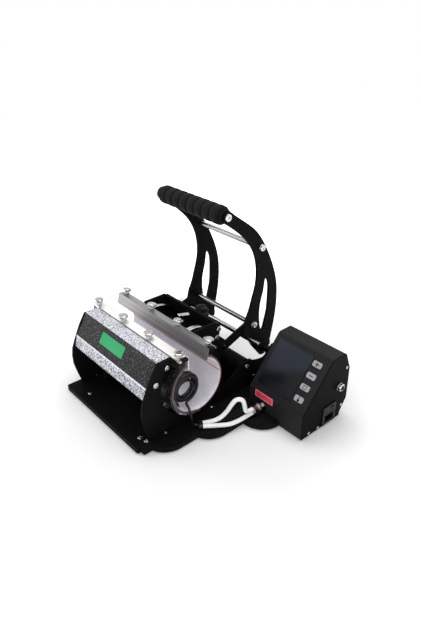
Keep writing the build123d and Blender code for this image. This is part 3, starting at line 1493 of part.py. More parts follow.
# Mat lead: a black tail from the mat's end, with the collar that joins the white leads
collar_plane = Plane(
    origin=(MID_X + collar_x, FRONT_Y + collar_y, LEAD_REST),
    x_dir=(0.8, -0.6, 0),
    z_dir=(aim[0], aim[1], 0),
)
with BuildPart() as mat_lead:
    with BuildSketch(collar_plane):
        SlotOverall(LEAD_STEP + 2 * LEAD_R + 1, 2 * LEAD_R + 1)
    extrude(amount=COLLAR_LENGTH)
    add(lead_tube(tail_route, TAIL_LEAD_R).part)
    for lead_end, before in ((upper_end, upper_route[-2]), (lower_end, lower_route[-2])):
        face_point = Vector(MID_X + lead_end[0], FRONT_Y + lead_end[1], LEAD_REST)
        heading = face_point - Vector(MID_X + before[0], FRONT_Y + before[1], before[2])
        with BuildSketch(Plane(origin=face_point, z_dir=heading.normalized())):
            Circle(LEAD_R + 0.01)
        extrude(amount=-LEAD_R, mode=Mode.SUBTRACT)
mat_lead.part.label = "mat_lead"
export_step(mat_lead.part, "parts/mat_lead.step")

# Coil of the mat's lead: a plain ring of the outer shape of its turns, lying in the bore
with BuildPart() as lead_coil:
    with BuildSketch(side_plane(COIL_RIGHT - COIL_WIDTH)):
        with Locations((coil_y, coil_z)):
            Circle(COIL_R)
            Circle(COIL_CORE_R, mode=Mode.SUBTRACT)
    extrude(amount=COIL_WIDTH)
lead_coil.part.label = "lead_coil"
export_step(lead_coil.part, "parts/lead_coil.step")
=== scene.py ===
import bpy
import bmesh
import math
from mathutils import Matrix, Vector


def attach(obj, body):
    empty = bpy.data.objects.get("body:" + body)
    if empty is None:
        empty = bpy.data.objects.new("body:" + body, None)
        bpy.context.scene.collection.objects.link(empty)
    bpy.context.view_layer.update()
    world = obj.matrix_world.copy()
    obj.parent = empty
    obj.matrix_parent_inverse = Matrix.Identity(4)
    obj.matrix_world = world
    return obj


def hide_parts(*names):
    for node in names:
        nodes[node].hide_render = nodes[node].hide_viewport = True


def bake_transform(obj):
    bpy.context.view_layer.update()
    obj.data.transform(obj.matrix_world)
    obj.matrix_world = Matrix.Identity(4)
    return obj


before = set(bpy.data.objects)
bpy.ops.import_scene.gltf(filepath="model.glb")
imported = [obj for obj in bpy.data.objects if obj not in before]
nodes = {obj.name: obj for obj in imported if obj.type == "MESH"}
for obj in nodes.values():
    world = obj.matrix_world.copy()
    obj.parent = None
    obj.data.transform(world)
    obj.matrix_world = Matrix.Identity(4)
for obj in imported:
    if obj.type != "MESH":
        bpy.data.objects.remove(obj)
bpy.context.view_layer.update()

# The studio: the press stands on a white table under a pale room, seen from the
# operator's front right and a little above, with soft boxes over it.
studio = bpy.context.scene
studio.view_settings.view_transform = "Standard"

sensor = 36.0
focal_pixels = 558.0
photo_height = 631.0
camera_data = bpy.data.cameras.new("camera")
camera_data.sensor_width = sensor
camera_data.lens = sensor * focal_pixels / photo_height
camera_data.clip_end = 20.0
camera = bpy.data.objects.new("camera", camera_data)
studio.collection.objects.link(camera)
camera_right = Vector((0.660006, 0.751260, 0.0))
camera_up = Vector((-0.374493, 0.328984, 0.866905))
camera_back = Vector((0.651265, -0.572169, 0.498473))
camera_place = Vector((0.660745, -0.560590, 0.685))
camera.matrix_world = Matrix([
    (camera_right[n], camera_up[n], camera_back[n], camera_place[n]) for n in range(3)
] + [(0.0, 0.0, 0.0, 1.0)])
studio.camera = camera


def join(tree, *pairs):
    """Links each pair of sockets."""
    for start, end in pairs:
        tree.links.new(start, end)


def added(tree, kind, operation=None, **inputs):
    """A new shader node, with its operation and with values on its named inputs."""
    new = tree.nodes.new("ShaderNode" + kind)
    if operation:
        new.operation = operation
    for socket, value in inputs.items():
        new.inputs[socket.replace("_", " ")].default_value = value
    return new


def seen_only(tree):
    """1 for rays that should see the plain white background, 0 for the others."""
    ray = added(tree, "LightPath")
    first = added(tree, "Math", "MAXIMUM")
    both = added(tree, "Math", "MAXIMUM")
    join(
        tree,
        (ray.outputs["Is Camera Ray"], first.inputs[0]),
        (ray.outputs["Is Transmission Ray"], first.inputs[1]),
        (first.outputs[0], both.inputs[0]),
        (ray.outputs["Is Glossy Ray"], both.inputs[1]),
    )
    return both.outputs[0]


room = bpy.data.worlds.new("room")
studio.world = room
room.use_nodes = True
room_tree = room.node_tree
room_tree.nodes.clear()
room_out = added(room_tree, "OutputWorld")
room_mix = added(room_tree, "MixShader")
room_fill = added(room_tree, "Background", Color=(0.98, 0.985, 1.0, 1.0), Strength=0.72)
room_white = added(room_tree, "Background", Color=(1.0, 1.0, 1.0, 1.0), Strength=1.0)
join(
    room_tree,
    (seen_only(room_tree), room_mix.inputs["Fac"]),
    (room_fill.outputs[0], room_mix.inputs[1]),
    (room_white.outputs[0], room_mix.inputs[2]),
    (room_mix.outputs[0], room_out.inputs["Surface"]),
)


def soft_box(name, place, aim, size, power):
    """A wide soft lamp that shines from its place towards its aim."""
    lamp = bpy.data.lights.new(name, "AREA")
    lamp.shape = "RECTANGLE"
    lamp.size, lamp.size_y = size
    lamp.energy = power
    lamp_object = bpy.data.objects.new(name, lamp)
    studio.collection.objects.link(lamp_object)
    lamp_object.location = place
    way = Vector(aim) - Vector(place)
    lamp_object.rotation_euler = way.to_track_quat("-Z", "Y").to_euler()


soft_box("top_box", (-0.15, 0.35, 1.7), (0.0, 0.05, 0.1), (1.4, 1.0), 13.0)
soft_box("left_box", (-1.5, -0.9, 1.1), (-0.05, 0.0, 0.12), (0.9, 0.9), 9.0)
soft_box("right_box", (1.5, -0.7, 0.9), (0.1, 0.0, 0.12), (0.7, 0.9), 5.0)

table_mesh = bpy.data.meshes.new("table_top")
table_half = 3
table_mesh.from_pydata(
    [(table_half * x, table_half * y, 0) for x, y in ((-1, -1), (1, -1), (1, 1), (-1, 1))],
    [], [(0, 1, 2, 3)],
)
table_top = bpy.data.objects.new("table_top", table_mesh)
studio.collection.objects.link(table_top)
white_table = bpy.data.materials.new("white_table")
white_table.use_nodes = True
table_tree = white_table.node_tree
table_paint = table_tree.nodes["Principled BSDF"]
table_paint.inputs["Base Color"].default_value = (0.84, 0.84, 0.84, 1.0)
table_paint.inputs["Roughness"].default_value = 0.9
table_paint.inputs["Specular IOR Level"].default_value = 0.1
table_place = added(table_tree, "TexCoord")
table_span = added(table_tree, "VectorMath", "LENGTH")
table_glow_rise = added(
    table_tree, "MapRange", From_Min=0.22, From_Max=0.60, To_Min=0.02, To_Max=1.0,
)
table_glow_rise.interpolation_type = "SMOOTHERSTEP"
table_glow = added(table_tree, "Emission")
table_sum = added(table_tree, "AddShader")
table_choice = added(table_tree, "MixShader")
join(
    table_tree,
    (table_place.outputs["Object"], table_span.inputs[0]),
    (table_span.outputs["Value"], table_glow_rise.inputs["Value"]),
    (table_glow_rise.outputs["Result"], table_glow.inputs["Strength"]),
    (table_paint.outputs[0], table_sum.inputs[0]),
    (table_glow.outputs[0], table_sum.inputs[1]),
    (seen_only(table_tree), table_choice.inputs["Fac"]),
    (table_paint.outputs[0], table_choice.inputs[1]),
    (table_sum.outputs[0], table_choice.inputs[2]),
    (table_choice.outputs[0], table_tree.nodes["Material Output"].inputs["Surface"]),
)
table_top.data.materials.append(white_table)


# Base pan: one sheet of 2 mm steel, folded down all round and stepped out to the
# right in three round lobes for the control box. It is powder coated satin black.
def grey(value, tint=(1.0, 1.0, 1.0)):
    """An opaque grey, or a tinted one."""
    return (value * tint[0], value * tint[1], value * tint[2], 1.0)


def finish(name, low, high, rough, grain, relief, stretch=(1, 1, 1), patches=30.0, worn=None,
           sockets=()):
    """A finish whose colour runs between two tones in soft patches, with a fine relief.
    Its rubbed edges take the worn tone, and sockets are values set on the shader."""
    coat = bpy.data.materials.new(name)
    coat.use_nodes = True
    tree = coat.node_tree
    shade = tree.nodes["Principled BSDF"]
    for socket, value in sockets:
        shade.inputs[socket].default_value = value
    place = added(tree, "TexCoord")
    spread = added(tree, "Mapping", Scale=stretch)
    fine = added(tree, "TexNoise", Scale=grain, Detail=4.0)
    broad = added(tree, "TexNoise", Scale=patches, Detail=5.0)
    blend_in = added(tree, "Mix", Factor=0.45)
    tone = added(tree, "ValToRGB")
    tone.color_ramp.elements[0].position = 0.34
    tone.color_ramp.elements[0].color = low
    tone.color_ramp.elements[1].position = 0.66
    tone.color_ramp.elements[1].color = high
    gloss = added(tree, "MapRange", To_Min=rough - 0.07, To_Max=rough + 0.11)
    bump = added(tree, "Bump", Strength=relief, Distance=0.0003)
    join(
        tree,
        (place.outputs["Object"], spread.inputs["Vector"]),
        (spread.outputs["Vector"], fine.inputs["Vector"]),
        (spread.outputs["Vector"], broad.inputs["Vector"]),
        (fine.outputs["Fac"], blend_in.inputs["A"]),
        (broad.outputs["Fac"], blend_in.inputs["B"]),
        (blend_in.outputs["Result"], tone.inputs["Fac"]),
        (broad.outputs["Fac"], gloss.inputs["Value"]),
        (gloss.outputs["Result"], shade.inputs["Roughness"]),
        (fine.outputs["Fac"], bump.inputs["Height"]),
        (bump.outputs["Normal"], shade.inputs["Normal"]),
    )
    colour = tone.outputs["Color"]
    if worn:
        edge = added(tree, "NewGeometry")
        rubbed = added(tree, "MapRange", From_Min=0.56, From_Max=0.7)
        bare = added(tree, "Mix")
        bare.data_type = "RGBA"
        bare.inputs[7].default_value = worn
        join(
            tree,
            (edge.outputs["Pointiness"], rubbed.inputs["Value"]),
            (rubbed.outputs["Result"], bare.inputs[0]),
            (colour, bare.inputs[6]),
        )
        colour = bare.outputs[2]
    tree.links.new(colour, shade.inputs["Base Color"])
    return coat


def dress(node_name, material, edge_round=0.0005):
    """Gives a CAD node its finish, and breaks its sharp edges by a small round."""
    piece = nodes[node_name]
    piece.data.materials.clear()
    piece.data.materials.append(material)
    if edge_round:
        rounding = piece.modifiers.new("broken_edges", "BEVEL")
        rounding.width = edge_round
        rounding.segments = 2
        rounding.limit_method = "ANGLE"
        rounding.angle_limit = math.radians(40)
        rounding.harden_normals = True


frame_black = finish(
    "black_powder_coat", grey(0.0018), grey(0.0045), 0.44, 1400.0, 0.22,
    worn=grey(0.011), sockets=[("Specular IOR Level", 0.022)],
)
dress("base_plate", frame_black, 0.0012)
dress("rubber_feet", finish("foot_rubber", grey(0.006), grey(0.013), 0.75, 500.0, 0.4,
                            sockets=[("Specular IOR Level", 0.1)]), 0.001)


# Side plates: 4 mm laser-cut steel with a round notch for the bore, each with a foot
# turned over at the bottom. The tube, rear panel and guide bracket join them.
for steel in ("left_side_plate", "right_side_plate", "cross_tube", "rear_panel", "guide_bracket"):
    dress(steel, frame_black, 0.0006)


# Front shell: one bent sheet over the front of the press in antique-vein enamel, where
# fine bright flakes stand on a dark base. The bright flake is painted thick on its top and
# lowest facets and in a thin line at its upper bend: painted highlight where the light falls.
def hammertone(name, flake, facets):
    """Enamel flakes; facets are (height, share of bright flake), from the lowest up, so that the lit
    facets take a painted highlight.
    """
    enamel = bpy.data.materials.new(name)
    enamel.use_nodes = True
    tree = enamel.node_tree
    shade = tree.nodes["Principled BSDF"]
    for socket, value in (
        ("Metallic", 0.5), ("Coat Weight", 0.15), ("Specular IOR Level", 0.2), ("Coat Roughness", 0.1),
    ):
        shade.inputs[socket].default_value = value
    place = added(tree, "TexCoord")
    cells = added(tree, "TexVoronoi", Scale=flake)
    vein = added(tree, "TexNoise", Scale=flake * 0.6, Detail=5.0, Roughness=0.72)
    split = added(tree, "SeparateXYZ")
    lowest, highest = facets[0][0], facets[-1][0]
    height = added(tree, "MapRange", From_Min=lowest, From_Max=highest)
    share = added(tree, "ValToRGB")
    while len(share.color_ramp.elements) < len(facets):
        share.color_ramp.elements.new(0.5)
    for stop, (level, amount) in zip(share.color_ramp.elements, facets):
        stop.position = (level - lowest) / (highest - lowest)
        stop.color = grey(amount)
    speck = added(tree, "Mix", Factor=0.5)
    lift = added(tree, "Math", "ADD")
    tone = added(tree, "ValToRGB")
    stops = tone.color_ramp.elements
    stops[0].position = 0.62
    stops[0].color = grey(0.008)
    stops[1].position = 1.0
    stops[1].color = grey(0.72, (0.96, 0.97, 1.06))
    middle = stops.new(0.80)
    middle.color = grey(0.13, (0.97, 0.98, 1.05))
    rough = added(tree, "MapRange", To_Min=0.22, To_Max=0.5)
    bump = added(tree, "Bump", Strength=0.45, Distance=0.0006)
    join(
        tree,
        (place.outputs["Object"], cells.inputs["Vector"]),
        (place.outputs["Object"], vein.inputs["Vector"]),
        (place.outputs["Object"], split.inputs["Vector"]),
        (split.outputs["Z"], height.inputs["Value"]),
        (height.outputs["Result"], share.inputs["Fac"]),
        (share.outputs["Color"], lift.inputs[0]),
        (vein.outputs["Fac"], speck.inputs["A"]),
        (cells.outputs["Color"], speck.inputs["B"]),
        (speck.outputs["Result"], lift.inputs[1]),
        (lift.outputs[0], tone.inputs["Fac"]),
        (tone.outputs["Color"], shade.inputs["Base Color"]),
        (cells.outputs["Distance"], rough.inputs["Value"]),
        (rough.outputs["Result"], shade.inputs["Roughness"]),
        (cells.outputs["Distance"], bump.inputs["Height"]),
        (bump.outputs["Normal"], shade.inputs["Normal"]),
    )
    return enamel


flake_size = 620.0
shell_facets = [
    (0.080, 0.38), (0.117, 0.37), (0.1192, 0.60), (0.1204, 0.60), (0.1212, 0.02),
    (0.1594, 0.06), (0.1606, 0.03), (0.1614, 0.46),
]
dress("front_shell", hammertone("silver_hammertone", flake_size, shell_facets), 0.0008)
# The saddle takes the same enamel, with bright flake painted thick in one band round its curved face:
# painted highlight.
saddle_facets = [(0.030, 0.05), (0.052, 0.36), (0.062, 0.34), (0.074, 0.03), (0.170, 0.0)]
dress("front_saddle", hammertone("saddle_hammertone_painted_highlight", flake_size, saddle_facets), 0.0004)


# Clamp strips: two angles of 2.5 mm stainless, brushed along their length, that pinch
# the ends of the mat. The rear one lies on a black bar that its screws bite into.
def brushed(name, tone, rough):
    """Stainless steel with fine lines along the strips' length."""
    return finish(
        name, grey(tone * 0.6), grey(tone * 1.3, (1.0, 0.99, 0.96)), rough, 800.0, 0.16,
        stretch=(0.006, 1.0, 1.0), patches=14.0, sockets=[("Metallic", 1.0)],
    )


strip_steel = brushed("stainless", 0.90, 0.30)
dress("front_clamp_strip", strip_steel, 0.0004)
# The rear strip takes a darker copy of the front strip's steel: painted shade.
dress("rear_clamp_strip", brushed("stainless_rear_painted_shade", 0.30, 0.34), 0.0004)
dress("rear_clamp_bar", frame_black, 0.0006)

mid_plane = -0.077
pan_front = -0.18521


def at(x, y, z):
    """A place by the maker's drawing: millimetres from the bore's middle, pan and floor."""
    return Vector((mid_plane + x / 1000.0, pan_front + y / 1000.0, z / 1000.0))


def make(name, points, faces, materials, body, pick=None, smooth=True):
    """A meshed piece, which rides on a body if one is named; pick gives each face's material."""
    mesh = bpy.data.meshes.new(name)
    mesh.from_pydata([tuple(p) for p in points], [], faces)
    piece = bpy.data.objects.new(name, mesh)
    studio.collection.objects.link(piece)
    for material in materials:
        mesh.materials.append(material)
    trim = bmesh.new()
    trim.from_mesh(mesh)
    bmesh.ops.recalc_face_normals(trim, faces=trim.faces)
    trim.to_mesh(mesh)
    trim.free()
    for number, polygon in enumerate(mesh.polygons):
        polygon.use_smooth = smooth
        if pick:
            polygon.material_index = pick(number)
    if body:
        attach(piece, body)
    return piece


def ring_faces(here, beyond, count):
    """Faces between two rings of points, by the number of each ring's first point."""
    return [
        (here + n, here + (n + 1) % count, beyond + (n + 1) % count, beyond + n)
        for n in range(count)
    ]


strip_top = 162.5
front_strip_edge, rear_strip_edge = 104.0, 147.0
strip_lean = math.radians(14.0)


def on_rear_strip(x, back, rise):
    """A place by the leaning rear strip's top front edge."""
    return at(
        x,
        rear_strip_edge + back * math.cos(strip_lean) + rise * math.sin(strip_lean),
        strip_top - back * math.sin(strip_lean) + rise * math.cos(strip_lean),
    )


def strip_clip(name, place, body):
    """A black sheet clip folded over the strip's end: under it, round its end and over."""
    path = [(131.6, 0.15), (138.4, 0.15), (138.4, -2.9), (136, -2.9)]
    inner = [(131.6, 0.95), (139.2, 0.95), (139.2, -3.6), (136, -3.6)]
    ring = path + inner[::-1]
    points = []
    for back in (2.0, 15.0):
        points += [place(x, back, rise) for x, rise in ring]
    count = len(ring)
    faces = ring_faces(0, count, count)
    for first in (0, count):
        last = first + count - 1
        faces += [(first + n, first + n + 1, last - 1 - n, last - n) for n in range(len(path) - 1)]
    clip = make(name, points, faces, [frame_black], body, smooth=False)


def on_front_strip(x, back, rise):
    """A place by the front strip's top rear edge; back runs to the front here."""
    return at(x, front_strip_edge - back, strip_top + rise)


strip_clip("front_strip_clip", on_front_strip, "frame")
strip_clip("rear_strip_clip", on_rear_strip, "carriage")


# Thumb screws: turned steel, nickel plated, with a wide flat head on a narrow neck, a
# knurled collar that bears on the strip and a threaded shank through it.
def chrome(name, tone=0.54, rough=0.13):
    """Bright plating, a little uneven."""
    return finish(
        name, grey(tone * 0.62), grey(tone * 1.12), rough, 260.0, 0.05, patches=90.0,
        sockets=[("Metallic", 1.0)],
    )


chrome_plate = chrome("chrome_plate")


def sharp_edges(piece, degrees=35.0):
    """Smooth shading that keeps the turned or folded edges crisp."""
    work = bmesh.new()
    work.from_mesh(piece.data)
    for edge in work.edges:
        if len(edge.link_faces) == 2:
            edge.smooth = edge.calc_face_angle(0.0) < math.radians(degrees)
    work.to_mesh(piece.data)
    work.free()


def turned(name, start, way, profile, materials, body, sides=40, ridges=None, bands=None):
    """A turned piece: profile is (radius, along) in mm; ridges are (first, last, count, depth)
    of knurl between two profile points; bands gives a material for each profile step."""
    way = Vector(way).normalized()
    side = way.orthogonal().normalized()
    other = way.cross(side)
    points, faces, numbers = [], [], []
    for step, (radius, along) in enumerate(profile):
        for turn in range(sides):
            angle = 2 * math.pi * turn / sides
            out = radius
            if ridges and ridges[0] <= step <= ridges[1]:
                out -= ridges[3] * (0.5 - 0.5 * math.cos(ridges[2] * angle))
            spoke = side * math.cos(angle) + other * math.sin(angle)
            points.append(start + (way * along + spoke * out) / 1000.0)
    for step in range(len(profile) - 1):
        faces += ring_faces(step * sides, (step + 1) * sides, sides)
        numbers += [bands[step] if bands else 0] * sides
    last = (len(profile) - 1) * sides
    faces += [tuple(range(sides)), tuple(last + turn for turn in range(sides))]
    numbers += [0, 0]
    piece = make(name, points, faces, materials, body, pick=lambda n: numbers[n])
    sharp_edges(piece)
    return piece


def threaded(low, high, core, crest, pitch=0.8):
    """Profile points of a screw thread, drawn as close rings of crest and root."""
    rings = int((high - low) / pitch)
    rows = []
    for ring in range(rings):
        rows += [(crest, low + pitch * (ring + 0.25)), (core, low + pitch * (ring + 0.75))]
    return rows


thumb_places = (-124.5, -40.0, 40.0, 124.5)
front_screw_back, rear_screw_back = 11.0, 10.0
for end, collar in (("front", 5.0), ("rear", 8.0)):
    for number, x in enumerate(thumb_places, start=1):
        node_name = f"{end}_thumb_screw_{number}"
        if end == "front":
            seat = on_front_strip(x, front_screw_back, 0.0)
            way = (0, 0, 1)
        else:
            seat = on_rear_strip(x, rear_screw_back, 0.0)
            way = (0, math.sin(strip_lean), math.cos(strip_lean))
        top = collar + 5.0
        screw_profile = [(0.9, -10.4), (1.7, -10.0)] + threaded(-9.8, -0.2, 2.1, 2.48) + [
            (2.4, 0.05), (4.9, 0.08), (5.5, 0.6), (5.5, collar - 2.4), (4.9, collar - 1.8),
            (3.1, collar - 1.5), (3.1, collar - 0.3), (5.2, collar + 0.3), (8.2, collar + 1.0),
            (9.0, collar + 1.7), (9.0, top - 1.3), (8.4, top - 0.5), (7.2, top - 0.1),
            (4.0, top - 0.02), (0.4, top),
        ]
        knurl_first = len(screw_profile) - 13
        screw = turned(
            f"{node_name}_turned", seat, way, screw_profile, [chrome_plate], node_name,
            sides=72, ridges=(knurl_first, knurl_first + 1, 24, 0.5),
        )
        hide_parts(node_name)


# Heating mat: a horseshoe of sponge between a pale silicone lining and a brown-grey
# cover. Pink seams cross the lining and edge its rear half; the front half's rim is plain.
# The strips pinch its two tabs. On the press its rear half closes with the carriage; here the mat is
# one fixed piece.
bore_y, bore_z = 124.0, 96.0
mat_half = 135
lining_radius, cover_radius = 51.0, 56.9


def on_bore(radius, degrees):
    """Across-the-press place on a circle about the bore: 0 to the rear, 90 up."""
    angle = math.radians(degrees)
    return bore_y + radius * math.cos(angle), bore_z + radius * math.sin(angle)


def tab_place(back, rise):
    """Across-the-press place in the mat's rear tab, which leans with the rear strip."""
    place = on_rear_strip(0.0, back, rise)
    return (place.y - pan_front) * 1000.0, place.z * 1000.0


# The mat's section runs from the front tab round the bore to the rear tab, and the seam
# rows are the steps where a pink seam starts and ends.
tab_steps, arc_steps = 6, 78
tab_top, tab_inside, tab_outside = 159.8, 101.5, 98.6
lining_start, lining_sweep = 116.2, 310.0
cover_start, cover_sweep = 116.6, 307.5
seam_rows = (1.2, 1.9, 63.2, 63.95)
mat_inside, mat_outside, seam_steps = [], [], []
for step in range(tab_steps):
    share = step / (tab_steps - 1)
    mat_inside.append((tab_inside, tab_top - 17.5 * share))
    mat_outside.append((tab_outside, tab_top - 12.6 * share))
for step in sorted([*range(1, arc_steps), *seam_rows]):
    share = step / arc_steps
    if step in (seam_rows[0], seam_rows[2]):
        seam_steps.append(len(mat_inside))
    mat_inside.append(on_bore(lining_radius, lining_start + lining_sweep * share))
    mat_outside.append(on_bore(cover_radius, cover_start + cover_sweep * share))
for step in range(tab_steps):
    share = step / (tab_steps - 1)
    mat_inside.append(tab_place(2.6, -19.6 + 16.8 * share))
    mat_outside.append(tab_place(5.4, -14.2 + 11.4 * share))

# The lining's broad darker grey patches are painted shade, standing for the shade in its soft folds.
lining = finish(
    "mat_lining_painted_shade", grey(0.50, (1.0, 0.97, 1.05)), grey(0.90, (1.0, 0.97, 1.04)), 0.62, 900.0, 0.3,
    patches=16.0, sockets=[("Sheen Weight", 0.25), ("Specular IOR Level", 0.3)],
)
mat_seam = finish(
    "mat_seam", (0.36, 0.07, 0.08, 1.0), (0.56, 0.15, 0.16, 1.0), 0.7, 1100.0, 0.5, patches=60.0,
)
mat_cover = finish(
    "mat_cover", (0.075, 0.055, 0.052, 1.0), (0.17, 0.125, 0.12, 1.0), 0.75, 1000.0, 0.5,
    patches=40.0, sockets=[("Specular IOR Level", 0.25)],
)
lining_face, seam_face, cover_face = 0, 1, 2
mat_points, mat_faces, mat_numbers = [], [], []
mat_samples = len(mat_inside)
last_bare_rim = 44
mat_lengths = 36
mat_stations = [-mat_half + 2 * mat_half * n / mat_lengths for n in range(mat_lengths + 1)]
for x in mat_stations:
    near_end = math.exp(-(mat_half - abs(x)) / 3.0)
    for n in range(mat_samples):
        inside, outside = Vector(mat_inside[n]), Vector(mat_outside[n])
        puff = 0.05 * (1 + math.sin(x * 0.14 + n * 0.55)) + 0.13 * near_end
        if tab_steps <= n < mat_samples - tab_steps:
            inside = inside.lerp(outside, puff)
        mat_points.append(at(x, *inside))
    for n in reversed(range(mat_samples)):
        inside, outside = Vector(mat_inside[n]), Vector(mat_outside[n])
        mat_points.append(at(x, *outside.lerp(inside, 0.10 * near_end)))
ring = 2 * mat_samples
ring_numbers = [
    seam_face if n in seam_steps else lining_face if n < mat_samples - 1 else cover_face
    for n in range(ring)
]
for station in range(len(mat_stations) - 1):
    mat_faces += ring_faces(station * ring, (station + 1) * ring, ring)
    mat_numbers += ring_numbers
for station, outward in ((0, -1.0), (len(mat_stations) - 1, 1.0)):
    base = station * ring
    rows = [[base + n for n in range(mat_samples)]]
    for share, proud in ((0.22, 0.45), (0.46, 0.6)):
        row = []
        for n in range(mat_samples):
            inside = mat_points[base + n]
            outside = mat_points[base + ring - 1 - n]
            mat_points.append(inside.lerp(outside, share) + Vector((outward * proud / 1000.0, 0, 0)))
            row.append(len(mat_points) - 1)
        rows.append(row)
    rows.append([base + ring - 1 - n for n in range(mat_samples)])
    for band in (lining_face, seam_face, cover_face):
        low_row, high_row = rows[band], rows[band + 1]
        for n in range(mat_samples - 1):
            mat_faces.append((low_row[n], low_row[n + 1], high_row[n + 1], high_row[n]))
            mat_numbers.append(band if n > last_bare_rim else cover_face)
    for tab in (0, mat_samples - 1):
        mat_faces.append(tuple(row[tab] for row in rows))
        mat_numbers.append(cover_face)
mat_pad = make(
    "mat_pad", mat_points, mat_faces, [lining, mat_seam, mat_cover], None,
    pick=lambda n: mat_numbers[n],
)
sharp_edges(mat_pad, 60.0)
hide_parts("heating_mat")
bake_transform(mat_pad)


# Carriage: a folded tray between two cut side plates, with the rear half of the trough
# in front. All black steel; two bright springy straps arch back over the tray.
for steel in ("rear_saddle", "carriage_sides", "carriage_tray"):
    dress(steel, frame_black, 0.0005)

strap_steel = brushed("strap_steel", 0.62, 0.24)


def arc_through(first, middle, last, count):
    """Evenly spaced places on the arc through three (Y, Z) places."""
    (ax, ay), (bx, by), (cx, cy) = first, middle, last
    d = 2 * (ax * (by - cy) + bx * (cy - ay) + cx * (ay - by))
    a2, b2, c2 = ax * ax + ay * ay, bx * bx + by * by, cx * cx + cy * cy
    ux = (a2 * (by - cy) + b2 * (cy - ay) + c2 * (ay - by)) / d
    uy = (a2 * (cx - bx) + b2 * (ax - cx) + c2 * (bx - ax)) / d
    start = math.atan2(ay - uy, ax - ux)
    finish_angle = math.atan2(cy - uy, cx - ux)
    radius = math.hypot(ax - ux, ay - uy)
    angles = [start + (finish_angle - start) * n / (count - 1) for n in range(count)]
    return [(ux + radius * math.cos(t), uy + radius * math.sin(t)) for t in angles]


strap_line = arc_through(tab_place(19.3, -4.0), (192.0, 152.5), (214.4, 143.2), 25)[:17]
strap_section = ((-4.6, 0.02), (4.6, 0.02), (4.9, 0.2), (4.4, 0.45), (-4.4, 0.45), (-4.9, 0.2))
corners = len(strap_section)
for name, x in (("left_strap_face", -56.0), ("right_strap_face", 56.0)):
    strap_points, strap_faces = [], []
    for y, z in strap_line:
        strap_points += [at(x + wide, y, z + high) for wide, high in strap_section]
    for step in range(len(strap_line) - 1):
        strap_faces += ring_faces(corners * step, corners * (step + 1), corners)
    end = corners * (len(strap_line) - 1)
    strap_faces += [tuple(reversed(range(corners))), tuple(end + n for n in range(corners))]
    strap = make(name, strap_points, strap_faces, [strap_steel], "carriage")
    sharp_edges(strap)


# Pressure adjuster: a moulded knob with eight finger lobes on a plated screw through the
# tray's rear wall. Turning it sets how far the carriage closes on the tumbler.
knob_plastic = finish(
    "knob_plastic", grey(0.003), grey(0.008), 0.42, 900.0, 0.2,
    worn=grey(0.03), sockets=[("Specular IOR Level", 0.15)],
)
adjuster_way = (0, math.cos(strip_lean), -math.sin(strip_lean))
knob_profile = [(2.9, -28.0), (3.7, -27.2)] + threaded(-27.0, 22.0, 3.55, 3.98, 1.0) + [
    (3.6, 22.4), (8.6, 22.5), (9.4, 23.2), (9.6, 25.6), (13.2, 26.1), (16.6, 27.0), (17.8, 28.6),
    (18.0, 30.6), (18.0, 35.4), (17.8, 37.4), (16.6, 39.1), (13.2, 39.9), (7.2, 40.0),
    (6.6, 39.2), (0.6, 39.0),
]
shank_steps = len(knob_profile) - 15
knob = turned(
    "adjuster_knob", at(0, 216.0, 144.5), adjuster_way, knob_profile,
    [knob_plastic, chrome_plate], "pressure_knob", sides=96,
    ridges=(shank_steps + 5, shank_steps + 10, 8, 3.6),
    bands=[1 if step < shank_steps else 0 for step in range(len(knob_profile) - 1)],
)
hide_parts("pressure_knob")


# Handle: two bowed arms cut from 5 mm plate and powder coated, pinned to the main axle
# at their tails. Plated rods and a black tube join them, and their domed nuts stand outside.
for steel in ("left_arm", "right_arm", "left_link", "right_link"):
    dress(steel, frame_black, 0.0008)
# The rods' plating is streaked bright and dark along its length: painted reflection.
rod_plate_painted_reflection = finish(
    "rod_plate_painted_reflection", grey(0.05), grey(0.50), 0.20, 130.0, 0.0, stretch=(0.01, 1.0, 1.0), patches=100.0,
    sockets=[("Metallic", 1.0)],
)
for rod in ("upper_rod", "elbow_rod", "stop_rod", "link_bolts"):
    dress(rod, rod_plate_painted_reflection, 0.0013)
dress("handle_tube", frame_black, 0.0013)
for rod in ("guide_rods", "main_axle", "axle_spacers", "connector_socket"):
    dress(rod, chrome_plate, 0.0006)


# Foam grip: a sleeve of closed-cell foam pushed over the handle tube, moulded with
# eight round ribs, its skin finely pitted.
grip_foam = finish(
    "foam", grey(0.0025), grey(0.011), 0.82, 1500.0, 0.9, patches=260.0,
    sockets=[("Specular IOR Level", 0.1), ("Sheen Weight", 0.03)],
)
ribs, grip_length, grip_sides = 8, 162.0, 64
tube_radius, grip_end_radius, grip_radius = 9.25, 13.6, 17.0
tube_y, tube_z = 230.5, 363.5
grip_profile = [(tube_radius, 0.0), (grip_end_radius, 0.0)]
rib_pitch = grip_length / ribs
for rib in range(ribs):
    low = rib * rib_pitch
    for share, drop in ((0.05, 2.2), (0.10, 1.1), (0.17, 0.4), (0.27, 0.1), (0.5, 0.0),
                        (0.73, 0.1), (0.83, 0.4), (0.90, 1.1), (0.95, 2.2)):
        grip_profile.append((grip_radius - drop, low + share * rib_pitch))
grip_profile += [(grip_end_radius, grip_length), (tube_radius, grip_length)]
grip = turned("grip_sleeve", at(-grip_length / 2, tube_y, tube_z), (1, 0, 0), grip_profile,
              [grip_foam], "handle", sides=grip_sides)
hollow = bmesh.new()
hollow.from_mesh(grip.data)
hollow.faces.ensure_lookup_table()
grip_ends = [face for face in hollow.faces if len(face.verts) == grip_sides]
rims = [list(face.edges) for face in grip_ends]
bmesh.ops.delete(hollow, geom=grip_ends, context="FACES_ONLY")
bmesh.ops.bridge_loops(hollow, edges=rims[0] + rims[1])
bmesh.ops.recalc_face_normals(hollow, faces=hollow.faces)
hollow.to_mesh(grip.data)
hollow.free()
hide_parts("foam_grip")


